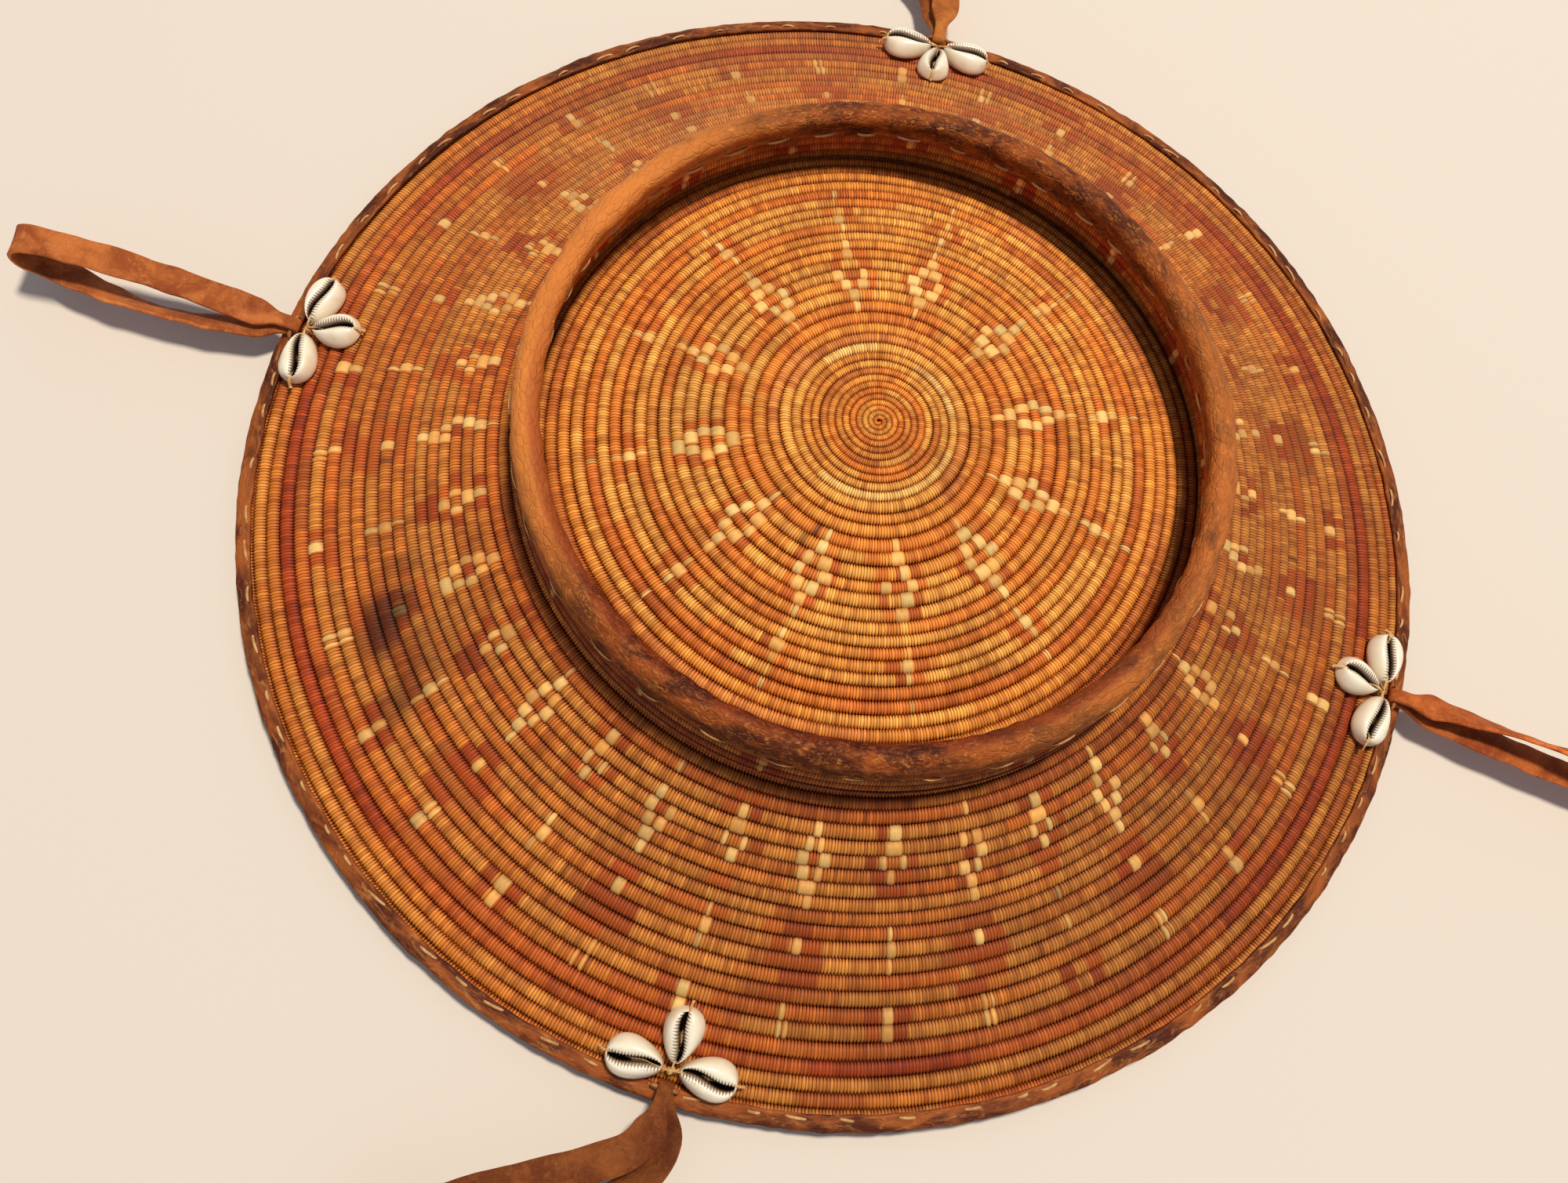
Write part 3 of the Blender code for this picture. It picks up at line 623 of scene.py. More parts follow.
# What wear, soot and light have done to the dish since it was sewn
aging = {
    "markWidth": (0.62, 1.05), "markTone": (0.72, 1.08), "markRise": (0.5, 1.2), "markEnds": 1.05,
    "beadSmooth": 3.0,
    "wallFrom": (104.0, 112.0), "wallTint": (0.76, 0.62, 0.53), "beadsSpared": 0.75,
    "darkSide": 0.25, "darkAt": -20.0, "paleSide": 0.10, "paleAt": 175.0,
    "patchy": 0.09, "patchLengths": (0.33, 0.12, 0.071, 0.51),
    "specks": 70, "speckPlace": (30.0, 215.0), "speckWide": (0.15, 0.5), "speckTall": (1.2, 2.4),
    "speckDark": (0.3, 0.9),
    "greyAt": 118.0, "greyFrom": (120.0, 140.0), "greyShare": 0.40, "greyLengths": (0.35, 0.13, 0.07),
    "stain": wraps["umber"] * 0.34, "scuff": wraps["grey"] * 0.9, "grey": wraps["grey"] * 0.74,
    # how fast a spot ends, how uneven its stitches are, and how much of them it covers
    "stainEdge": (4, (0.75, 1.15), 0.97), "scuffEdge": (2, (0.2, 1.8), 0.9),
}


def paintMark(colours, beads, lengths, middle, halfWidth, colour, raised):
    low, high = np.searchsorted(lengths, (middle - halfWidth, middle + halfWidth))
    low, high = max(0, low), min(len(lengths) - 1, high)
    if high > low:
        colours[low:high + 1] = colour
        share = np.clip((lengths[low:high + 1] - middle) / (halfWidth * aging["markEnds"]), -1.0, 1.0)
        beads[low:high + 1] = np.sqrt(1.0 - share ** 2) * raised if raised else 0.0


def growCoil(name, node, colours, beads, centre, outward, across, halfWidth):
    # one coil, cut along its length into pieces that an exporter can carry
    number = len(centre)
    groove = np.zeros(number)
    groove[::2] = 1.0
    groove *= 1.0 - np.clip(beads * aging["beadSmooth"], 0.0, 1.0)
    count = np.arange(number) / 2.0
    single = {"halfWidth": halfWidth, "groove": groove, "bead": beads, "stitchCount": count}
    parts = max(1, math.ceil(number / coil["longestPiece"]))
    bounds = np.linspace(0, number - 1, parts + 1).astype(int)
    for i in range(parts):
        span = slice(bounds[i], bounds[i + 1] + 1)
        part = name if parts == 1 else name + str(i + 1)
        seed = bpy.data.meshes.new(part + "Path")
        seed.from_pydata(centre[span].tolist(), [(k, k + 1) for k in range(bounds[i + 1] - bounds[i])], [])
        storePoints(seed, "outward", outward[span], "FLOAT_VECTOR")
        storePoints(seed, "across", across[span], "FLOAT_VECTOR")
        for key, values in single.items():
            storePoints(seed, key, values[span])
        storePoints(seed, "wrapColour", colours[span], "FLOAT_COLOR")
        mesh = growMesh(part, seed, coilRow, {
            "Sides": coil["sides"], "Upper Sides": coil["upperSides"],
            "Half Thickness": wall["halfThickness"], "Ridge Share": coil["ridgeShare"],
            "Groove Depth": coil["grooveDepth"], "Tooth Share": coil["toothShare"],
            "Bead Height": coil["beadHeight"], "Material": straw,
        })
        plainPiece(part, mesh, "basket", (node,))
    print(name, "made:", number, "sections in", parts, "pieces")


def stitchColours(perStitch, seed):
    # each stitch keeps its splint's colour, with a little of its own, and short runs of them share a shade
    draw = np.random.RandomState(seed)
    number = len(perStitch)
    runs = np.repeat(draw.uniform(-1.0, 0.7, number), draw.randint(1, coil["longestRun"], number))[:number]
    shade = coil["stitchShade"] * draw.uniform(-1.0, 1.0, number) + coil["runShade"] * runs
    crests = perStitch * (1.0 + shade)[:, None] ** np.array(coil["shadeHue"])
    colours = np.empty((number * 2 + 1, 3))
    colours[1::2] = crests
    colours[2:-1:2] = (crests[:-1] + crests[1:]) / 2
    colours[0], colours[-1] = crests[0], crests[-1]
    return colours


def motifMarks(motif):
    # the dyed marks first and then the raised ones, each with a single place
    marks = [(*mark[:-4], aside, *mark[-3:])
             for mark in motif["marks"] for aside in np.atleast_1d(mark[-4])]
    return sorted(marks, key=lambda mark: mark[-1] > 0.0)


def sideShare(azimuth, at):
    return np.clip(np.cos(np.radians(azimuth - at)), 0.0, 1.0)


def makeDishCoil():
    fine = np.arange(dish["firstTurn"], rimTurn - dish["lastGap"], coil["fineStep"])
    middle = (np.interp(fine, edgeTurns, edgePlaces) + np.interp(fine + 1.0, edgeTurns, edgePlaces)) / 2
    turns = stitchTurns(fine, wallAt(middle)[0])
    inner = np.interp(turns, edgeTurns, edgePlaces)
    outer = np.interp(turns + 1.0, edgeTurns, edgePlaces)
    place = (inner + outer) / 2
    fromMiddle = place * 1000.0
    radius = wallAt(place)[0]
    steps = np.diff(turns) * 2 * math.pi * (radius[1:] + radius[:-1]) / 2
    lengths = np.concatenate([[0.0], np.cumsum(steps)])
    wander = smoothShare(radius, *dish["wanderFrom"])
    place = place + waves(lengths, dish["wanderLengths"], 3) * dish["wander"] * wander
    lift = waves(lengths, dish["liftLengths"], 5) * dish["lift"] * wander
    radius, height, along, rise = wallAt(place, lift)
    frames = coilFrames(turns, dish["rowAzimuth"], radius, height, -rise, along)
    azimuth = (dish["rowAzimuth"] - 360.0 * turns) % 360.0

    # the splints
    number = (len(turns) - 1) // 2
    crestTurns = turns[1::2]
    lastWallRow = len(dish["wallEdges"]) - 1
    perStitch = strandTones(number, dish["splints"], dish["splintRun"], 11)
    onBottom = crestTurns < lastBottomTurn
    bottomRow = np.floor(crestTurns + dish["bottomShift"]).astype(int)
    wallRow = lastWallRow - np.floor(crestTurns - firstWallTurn + dish["wallShift"]).astype(int)
    for motif, rows, there, seed in (
            (bottomMotif, bottomRow, onBottom, 100), (wallMotif, wallRow, ~onBottom, 200)):
        for row, names in motif["rowColours"].items():
            chosen = there & (rows == row)
            perStitch[chosen] = strandTones(number, names, motif["splintRun"], seed + row)[chosen]
    inMiddle = crestTurns < 0
    perStitch[inMiddle] = strandTones(number, dish["middleSplints"], dish["middleRun"], 33)[inMiddle]

    # the marks
    colours = stitchColours(perStitch, 12)
    beads = np.zeros(len(turns))
    draw = np.random.RandomState(21)

    def mark(turn, aside, halfWidth, colour, raised, motif):
        if turn >= turns[-1] or draw.uniform() < motif["missing"]:
            return
        wear = draw.uniform(*motif["wear" if colour in ("cream", "pale") else "dyeWear"])
        worn = wraps[colour] + (wraps[wearsTo.get(colour, colour)] - wraps[colour]) * wear
        paintMark(colours, beads, lengths, np.interp(turn, turns, lengths) + aside / 1000.0,
                  halfWidth / 1000.0 * draw.uniform(*aging["markWidth"]),
                  worn * draw.uniform(*aging["markTone"]), raised * draw.uniform(*aging["markRise"]))

    for azimuthOf in bottomMotif["azimuths"]:
        for row, aside, halfWidth, colour, raised in motifMarks(bottomMotif):
            turn = turnOfMark(row, dish["bottomShift"], azimuthOf + aside, dish["rowAzimuth"])
            shift = draw.uniform(-bottomMotif["wander"], bottomMotif["wander"])
            mark(turn, shift, halfWidth, colour, raised, bottomMotif)
    half = 180.0 / wallMotif["count"]
    for i in range(wallMotif["count"]):
        for row, kind, aside, halfWidth, colour, raised in motifMarks(wallMotif):
            azimuthOf = wallMotif["first"] + 2 * half * i + (half if kind == "b" else 0.0)
            turn = turnOfMark(lastWallRow - row, dish["wallShift"], azimuthOf, dish["wallAzimuth"])
            shift = draw.uniform(-wallMotif["wander"], wallMotif["wander"])
            mark(turn + firstWallTurn, aside + shift, halfWidth, colour, raised, wallMotif)

    # the wall is browner than the bottom, most of all on its right side, but less so on its raised stitches
    onWall = smoothShare(fromMiddle, *aging["wallFrom"])
    dark = aging["darkSide"] * sideShare(azimuth, aging["darkAt"])
    pale = aging["paleSide"] * sideShare(azimuth, aging["paleAt"])
    patchy = waves(lengths, aging["patchLengths"], 9) * aging["patchy"]
    tint = np.array(aging["wallTint"]) * (1.0 - dark + pale + patchy)[:, None]
    onWall = onWall * (1.0 - aging["beadsSpared"] * np.clip(beads * aging["beadSmooth"], 0.0, 1.0))
    colours = colours * (1.0 + (tint - 1.0) * onWall[:, None])
    specks = [(draw.uniform(0.0, 360.0), *(draw.uniform(*aging[name]) for name in (
        "speckPlace", "speckWide", "speckTall", "speckDark"))) for _ in range(aging["specks"])]
    for name, spots in (("stain", list(stains) + specks), ("scuff", scuffs)):
        power, uneven, most = aging[name + "Edge"]
        for at, distance, wide, tall, strength in spots:
            aside = ((azimuth - at + 180.0) % 360.0 - 180.0) / wide
            amount = strength * np.exp(-aside ** power - ((fromMiddle - distance) / tall) ** power)
            amount = np.minimum(amount * draw.uniform(*uneven, len(amount)), most)[:, None]
            colours = colours * (1.0 - amount) + aging[name] * amount
    # handling has greyed the far side of the wall
    far = sideShare(azimuth, aging["greyAt"]) ** 2 * smoothShare(fromMiddle, *aging["greyFrom"])
    far *= aging["greyShare"] * (0.7 + 0.3 * waves(lengths, aging["greyLengths"], 8))
    colours = colours * (1.0 - far)[:, None] + aging["grey"] * far[:, None]
    growCoil("dishCoil", "dish_coil", colours, beads, *frames, (outer - inner) / 2 * coil["overlap"])


makeDishCoil()

# The foot's rows stand on the wall and lean in a little
foot = {
    "baseRadius": 0.1168, "height": 0.0271, "lean": 0.0038, "pitch": 0.0053, "seat": 0.0028,
    "azimuth": 40.0, "topClear": 0.0004, "tint": (0.78, 0.64, 0.56), "firstTurn": -0.85, "lastGap": 0.15,
    "wander": 0.00015, "wanderLengths": (0.17, 0.29, 0.08),
    "splints": ("tan", "brown", "golden", "orange", "tan"), "splintRun": (15, 60),
    "markCount": 17, "missing": 0.35,
    "marks": ((0.0042, 0.0022, "brick", 0.0), (-0.0042, 0.0022, "brick", 0.0), (0.0, 0.0009, "cream", 0.5)),
}
footBase = float(wallAt(distanceAt(foot["baseRadius"]), foot["seat"])[1])
footTop = footBase + foot["height"]


def footRadius(height, side=0.0):
    return foot["baseRadius"] - foot["lean"] * (height - footBase) / foot["height"] + side


def makeFootCoil():
    top = foot["height"] - foot["topClear"]
    rows = top / foot["pitch"]
    fine = np.arange(foot["firstTurn"], rows - foot["lastGap"], coil["fineStep"])
    turns = stitchTurns(fine, np.full(len(fine), foot["baseRadius"]))
    low = np.clip(turns * foot["pitch"], 0.0, top)
    high = np.clip((turns + 1.0) * foot["pitch"], 0.0, top)
    height = footBase + (low + high) / 2
    lengths = (turns - turns[0]) * 2 * math.pi * foot["baseRadius"]
    radius = footRadius(height) + waves(lengths, foot["wanderLengths"], 15) * foot["wander"]
    ones = np.ones(len(turns))
    centre, outward, across = coilFrames(turns, foot["azimuth"], radius, height, ones, 0.0 * ones)
    colours = stitchColours(strandTones((len(turns) - 1) // 2, foot["splints"], foot["splintRun"], 41), 42)
    beads = np.zeros(len(turns))
    draw = np.random.RandomState(43)
    for row in range(int(rows)):
        for i in range(foot["markCount"]):
            azimuthOf = wallMotif["first"] + i * 360.0 / foot["markCount"]
            turn = row + ((foot["azimuth"] - azimuthOf) / 360.0) % 1.0
            if turn >= turns[-1] or draw.uniform() < foot["missing"]:
                continue
            middle = np.interp(turn, turns, lengths)
            for aside, halfWidth, colour, raised in foot["marks"]:
                paintMark(colours, beads, lengths, middle + aside, halfWidth, wraps[colour], raised)
    growCoil("footCoil", "foot_coil", colours * np.array(foot["tint"]), beads, centre, outward, -across,
             (high - low) / 2 * coil["overlap"])


makeFootCoil()


# Leathers
def makeLeather(name, finish):
    material, bench = newMaterial(name)
    place = bench.here()
    # fibres and creases of a folded leather run along its ring
    if "ringRadius" in finish:
        east, north, high = bench.parts(place)
        around = bench.math("ARCTAN2", north, east) * (finish["ringRadius"] / finish["ringStretch"])
        outward = bench.vector("LENGTH", bench.point(east, north, 0.0), out="Value")
        place = bench.point(around, outward, high)
    blotch = bench.noise(place, finish["blotchScale"], 4.0, 0.62, distortion=0.6)
    colour = bench.mix(bench.between(blotch, 0.36, 0.64), finish["dark"], finish["light"])
    if "paleSide" in finish:
        # paler at the left and right, most of all at the left
        toSide = bench.between(bench.math("ABSOLUTE", east), *finish["paleFrom"])
        toSide = toSide * bench.between(east, *finish["paleTurn"], *finish["paleShare"])
        colour = bench.mix(toSide, colour, finish["paleSide"])
    streak = bench.noise(place, finish["streakScale"], 6.0, 0.7, distortion=1.5)
    colour = bench.mix(bench.between(streak, 0.50, 0.70) * finish["streakShare"], colour, finish["streak"])
    wear = bench.between(bench.noise(place, finish["wearScale"], 5.0, 0.65), 0.52, 0.74)
    colour = bench.mix(wear * finish["wearShare"], colour, finish["wear"])
    if "innerShade" in finish:
        # towards the front, the side turned to the middle is less worn and darker
        inner = bench.between(outward, *finish["innerFrom"]) * bench.between(north, *finish["innerTurn"])
        colour = bench.mix(inner, colour, finish["innerShade"], "MULTIPLY")
    if "tint" in finish:
        colour = bench.mix(1.0, colour, bench.read(finish["tint"], "Color"), "MULTIPLY")
    grain = bench.noise(place, finish["grainScale"], 4.0, 0.6)
    creases = bench.add("ShaderNodeTexVoronoi", {"feature": "DISTANCE_TO_EDGE"},
                        {"Vector": place, "Scale": finish["creaseScale"]}, "Distance")
    cracked = bench.between(creases, 0.0, finish["creaseWidth"])
    low, high = finish["roughness"]
    rough = low + (high - low) * bench.between(grain, 0.3, 0.7)
    relief = grain * finish["grainBump"] + cracked * finish["creaseBump"] + streak * finish["streakBump"]
    finishMaterial(bench, colour, rough, relief, finish["bump"], finish["shine"])
    return material


leather = {"grainScale": 1100.0, "creaseScale": 420.0, "creaseWidth": 0.12,
           "grainBump": 0.6, "creaseBump": 0.4, "streakBump": 0.3}
rollLeather = makeLeather("rollLeather", {
    **leather, "dark": tone(80, 30, 8), "light": tone(152, 72, 24), "blotchScale": 130.0,
    "streak": tone(216, 138, 64), "streakScale": 640.0, "streakShare": 0.68,
    "wear": tone(66, 26, 14), "wearScale": 110.0, "wearShare": 0.50,
    "paleSide": tone(228, 134, 60), "paleFrom": (0.045, 0.11), "paleTurn": (0.03, -0.10),
    "paleShare": (0.34, 0.80),
    "innerShade": tone(206, 176, 184), "innerFrom": (0.1138, 0.1108), "innerTurn": (0.03, -0.07),
    "roughness": (0.46, 0.74), "shine": 0.17, "bump": (0.8, 0.0006), "ringRadius": 0.113, "ringStretch": 1.8,
})
rimLeather = makeLeather("rimLeather", {
    **leather, "dark": tone(76, 28, 10), "light": tone(156, 80, 32), "blotchScale": 110.0,
    "streak": tone(204, 136, 72), "streakScale": 380.0, "streakShare": 0.45,
    "wear": tone(52, 18, 10), "wearScale": 70.0, "wearShare": 0.7,
    "roughness": (0.50, 0.76), "shine": 0.20, "bump": (0.5, 0.0004), "ringRadius": 0.217, "ringStretch": 2.6,
})
strapLeather = makeLeather("strapLeather", {
    **leather, "dark": tone(166, 88, 40), "light": tone(214, 130, 66), "blotchScale": 70.0,
    "streak": tone(236, 164, 98), "streakScale": 260.0, "streakShare": 0.45,
    "wear": tone(128, 56, 26), "wearScale": 45.0, "wearShare": 0.75, "tint": "loopTint",
    "creaseScale": 500.0, "roughness": (0.66, 0.90), "shine": 0.2, "bump": (0.55, 0.0005),
})


def makeFibre(name, dark, light, fleck, scale, roughness):
    material, bench = newMaterial(name)
    place = bench.here()
    colour = bench.mix(bench.between(bench.noise(place, scale, 4.0, 0.6), 0.35, 0.65), dark, light)
    fine = bench.noise(place, scale * 12.0, 3.0, 0.6)
    colour = bench.mix(bench.between(fine, 0.5, 0.75) * 0.4, colour, fleck)
    finishMaterial(bench, colour, roughness + 0.2 * fine, fine, (0.3, 0.0002), 0.35)
    return material


paleThread = makeFibre("paleThread", tone(176, 120, 68), tone(212, 164, 106), tone(120, 72, 38), 300.0, 0.60)
raffia = makeFibre("raffia", tone(196, 142, 84), tone(224, 180, 120), tone(140, 88, 48), 350.0, 0.55)
thong = makeFibre("thong", tone(150, 88, 48), tone(190, 122, 70), tone(110, 60, 34), 300.0, 0.65)

# The leather rolled over the foot's edge
roll = {
    "radius": 0.0046, "drop": 0.0044, "cap": 0.0036, "inside": 0.0028, "overFoot": 0.0003, "overSides": 0.004,
    "steps": 640, "arcPoints": 22, "neck": 44.0, "flatter": 0.97, "ringRadius": 0.113,
    "hem": 0.0074, "hemOut": 0.0042, "hemEdge": 0.0004, "hemFrom": 0.0045, "hemReach": 0.006, "hemFlat": 0.6,
    "hemWave": 0.0007, "outerWaves": (0.021, 0.034, 0.055), "innerWaves": (0.018, 0.041, 0.027),
    "lumpSize": 0.018, "lumpDepth": 0.0008, "wrinkleSize": 0.0042, "wrinkleDepth": 0.0006,
    "outerStitches": 34, "innerStitches": 42, "pinch": 0.0004,
}
rollCentre = footTop + roll["cap"] - roll["drop"]


def makeRoll():
    angles = np.radians(np.linspace(-roll["neck"], 180.0 + roll["neck"], roll["arcPoints"]))
    arc = np.stack([roll["radius"] * np.cos(angles), roll["radius"] * np.sin(angles) * roll["flatter"]], 1)
    hem, out, edge = roll["hem"], roll["hemOut"], roll["hemEdge"]
    outer = np.array([(roll["inside"], -hem), (out - edge, -hem - edge), (out, -hem + edge * 2),
                      (out, -hem * 0.72), (out + edge / 4, -hem * 0.52)])
    inner = outer[::-1] * (-1.0, 1.0)
    over = footTop + roll["overFoot"] - rollCentre
    under = np.array([(side * roll["inside"], over - deep) for side, deep in (
        (-1, roll["overSides"]), (-1, 0.0), (1, 0.0), (1, roll["overSides"]))])
    outline = np.concatenate([outer, arc, inner, under])
    # the outside shows lumps, and the hidden side against the foot doesn't
    outside = np.ones(len(outline))
    outside[0] = 0.0
    outside[-len(under) - 1:] = 0.0
    tangent = np.roll(outline, -1, 0) - np.roll(outline, 1, 0)
    normal = toUnit(np.stack([tangent[:, 1], -tangent[:, 0]], 1))
    turn = np.linspace(0.0, 2 * math.pi, roll["steps"], endpoint=False)
    x, y = (np.repeat(outline[None, :, k], roll["steps"], 0) for k in range(2))
    low = np.clip((-y - roll["hemFrom"]) / roll["hemReach"], 0.0, 1.0)
    around = turn * roll["ringRadius"]
    wave = np.where(x > 0, waves(around, roll["outerWaves"], 51)[:, None],
                    waves(around, roll["innerWaves"], 52)[:, None])
    # the thread pulls the hems in, stitch by stitch
    pinch = np.where(x > 0, *((np.cos(turn * roll[stitches])[:, None] * 0.5 + 0.5) ** 2
                              for stitches in ("outerStitches", "innerStitches")))
    y = y + wave * roll["hemWave"] * low
    points = spin(footRadius(rollCentre + y) + x, rollCentre + y, turn)
    push = roughen(points, roll["lumpSize"], 1) * roll["lumpDepth"]
    push += roughen(points, roll["wrinkleSize"], 2) * roll["wrinkleDepth"]
    push -= pinch * low * roll["pinch"]
    push = push * outside[None, :] * (1.0 - roll["hemFlat"] * low)
    x, y = x + normal[None, :, 0] * push, y + normal[None, :, 1] * push
    points = spin(footRadius(rollCentre + y) + x, rollCentre + y, turn)
    mesh = loftMesh("footLeatherRoll", points, rollLeather)
    plainPiece("footLeatherRoll", mesh, "basket", ("foot_leather_roll",))
    print("leather roll made")


makeRoll()

# The leather folded over the rim. Its outline runs from the upper edge round the rim to the lower edge.
binding = {
    "leather": 0.0014, "clear": 0.0003, "width": 0.0049, "underWidth": 0.0070, "steps": 900,
    "ringRadius": 0.217, "waveDepth": 0.0004, "waveLengths": (0.035, 0.0177, 0.061, 0.012),
    "lumpSize": 0.014, "lumpDepth": 0.00036, "wrinkleSize": 0.004, "wrinkleDepth": 0.00040,
    "land": 0.0035, "noseSteps": ((0.0006, 0.0004), (0.0012, 0.0)), "tuck": 0.004,
    # share of the width, and height over the wall or under the outer side
    "upper": ((1.0, 0.0), (1.02, 0.0007), (0.93, 0.0012)),
    "upperTop": ((0.78, 0.0003), (0.55, 0.0002), (0.3, 0.0)),
    # past the wall's end, and share of the outer side's height
    "nose": ((0.0, 1.0), (0.0006, 0.93), (0.0011, 0.72), (0.0014, 0.42), (0.0015, 0.0), (0.0014, -0.40)),
    "free": ((1, 11, 1.0), (11, 13, 0.3), (15, 19, 0.6)),
}
bindingInside = wall["halfThickness"] + binding["clear"]
bindingOutside = bindingInside + binding["leather"]


def bindingOutline(turn):
    wave = waves(turn * binding["ringRadius"], binding["waveLengths"], 61) * binding["waveDepth"]
    width = binding["width"] + wave
    inside, outside, under = bindingInside, bindingOutside, binding["underWidth"]
    slope = math.radians(wall["rimSlope"])
    along = np.array([math.cos(slope), -math.sin(slope)])
    up = np.array([math.sin(slope), math.cos(slope)])
    end = np.array([wall["endRadius"], wall["endHeight"]])
    points = [wallAt(lineEnd - width * share, inside + lift)[:2] for share, lift in binding["upper"]]
    points += [wallAt(lineEnd - width * share, outside - lift)[:2] for share, lift in binding["upperTop"]]
    points += [end + along * out + up * (outside * share) for out, share in binding["nose"]]
    nose = points[-1][0]
    points += [(nose - back, height) for back, height in binding["noseSteps"]]
    points.append((points[-1][0] - binding["land"], 0.0))
    points += [wallAt(lineEnd - under * share, lift)[:2] for share, lift in (
        (0.55, -outside + 0.0004), (0.8, -outside + 0.0005), (1.0, -inside - 0.0008), (1.0, -inside))]
    points += [wallAt(lineEnd - tuck, lift)[:2] for tuck, lift in (
        (binding["tuck"], -inside), (0.0, -inside), (0.0, inside), (binding["tuck"], inside))]
    full = np.ones(len(turn))
    return np.stack([np.stack([radius * full, height * full], -1) for radius, height in points], 1)


def makeBinding():
    turn = np.linspace(0.0, 2 * math.pi, binding["steps"], endpoint=False)
    rings = bindingOutline(turn)
    points = spin(rings[..., 0], rings[..., 1], turn)
    push = roughen(points, binding["lumpSize"], 4) * binding["lumpDepth"]
    push += roughen(points, binding["wrinkleSize"], 5) * binding["wrinkleDepth"]
    tangent = np.roll(rings, -1, 1) - np.roll(rings, 1, 1)
    normal = np.stack([tangent[..., 1], -tangent[..., 0]], -1)
    normal /= np.maximum(np.linalg.norm(normal, axis=-1), 1e-9)[..., None]
    free = np.zeros(rings.shape[1])
    for start, end, share in binding["free"]:
        free[start:end] = share
    # normals that point in are turned round
    centre = rings[:, :13].mean(1, keepdims=True)
    facing = np.sign(((rings - centre) * normal).sum(-1))[..., None]
    normal = normal * np.where(facing == 0.0, 1.0, facing)
    rings = rings + normal * (push * free[None, :])[..., None]
    points = spin(rings[..., 0], np.maximum(rings[..., 1], 0.0), turn)
    mesh = loftMesh("rimLeatherBinding", points, rimLeather)
    plainPiece("rimLeatherBinding", mesh, "basket", ("rim_leather_binding",))
    print("rim binding made")


makeBinding()


# Running stitches: short flat dashes of thread, set one by one along the hems
dash = {
    # share of the length, rise and width
    "stations": ((-0.5, -1.1, 0.45), (-0.42, -0.1, 0.85), (-0.2, 0.55, 1.0), (0.0, 0.7, 1.0),
                 (0.2, 0.55, 1.0), (0.42, -0.1, 0.85), (0.5, -1.1, 0.45)),
    "section": ((-1.0, 0.0), (-0.7, 0.8), (0.0, 1.0), (0.7, 0.8), (1.0, 0.0), (0.0, -0.8)),
    "sectionRise": 0.6,
    "rimCount": 78, "rimInset": 0.0036, "rimSize": (0.0066, 0.0011, 0.0005),
    "rollLow": 0.80, "rollOuterSize": (0.0086, 0.0010, 0.0006), "rollInnerSize": (0.0075, 0.0013, 0.0005),
    "sunk": 0.0001,
}


def dashMesh(length, width, thickness):
    # a dash that dips at both ends, along x, with z out of the leather
    rings = [[(share * length, side * width / 2 * wide, (lift + rise * dash["sectionRise"]) * thickness)
              for side, rise in dash["section"]] for share, lift, wide in dash["stations"]]
    return loftMesh("dash", rings, paleThread, closed=False)


def dashTree():
    inputs = {"Dash": "Object", "Seed": "Int", "Shortest": "Float", "Longest": "Float", "Tilt": "Float",
              "Material": "Material"}
    tree, bench, given = newTree("running stitches", inputs)
    points = bench.add("GeometryNodeMeshToPoints", {"mode": "VERTICES"},
                       {"Mesh": given["Geometry"], "Radius": 0.001})
    shape = bench.add("GeometryNodeObjectInfo", {"transform_space": "ORIGINAL"}, {"Object": given["Dash"]},
                      "Geometry")
    index = bench.add("GeometryNodeInputIndex")

    def chosen(low, high, seed):
        return bench.add("FunctionNodeRandomValue", {"data_type": "FLOAT"},
                         {"Min_001": low, "Max_001": high, "ID": index, "Seed": seed}, "Value_001")

    turned = bench.add("FunctionNodeAlignRotationToVector", {"axis": "X"},
                       {"Vector": bench.stored("along", "FLOAT_VECTOR")})
    turned = bench.add("FunctionNodeAlignRotationToVector", {"axis": "Z", "pivot_axis": "X"},
                       {"Rotation": turned, "Vector": bench.stored("out", "FLOAT_VECTOR")})
    lean = chosen(given["Tilt"] * -1.0, given["Tilt"], given["Seed"])
    spun = bench.add("FunctionNodeEulerToRotation", {}, {"Euler": bench.point(0.0, 0.0, lean)})
    turned = bench.add("FunctionNodeRotateRotation", {"rotation_space": "LOCAL"},
                       {"Rotation": turned, "Rotate By": spun})
    stretch = chosen(given["Shortest"], given["Longest"], given["Seed"] + 5)
    placed = bench.add("GeometryNodeInstanceOnPoints", {}, {
        "Points": points, "Instance": shape, "Rotation": turned, "Scale": bench.point(stretch, 1.0, 1.0)})
    endTree(bench, placed, given["Material"])
    return tree


stitchTree = dashTree()


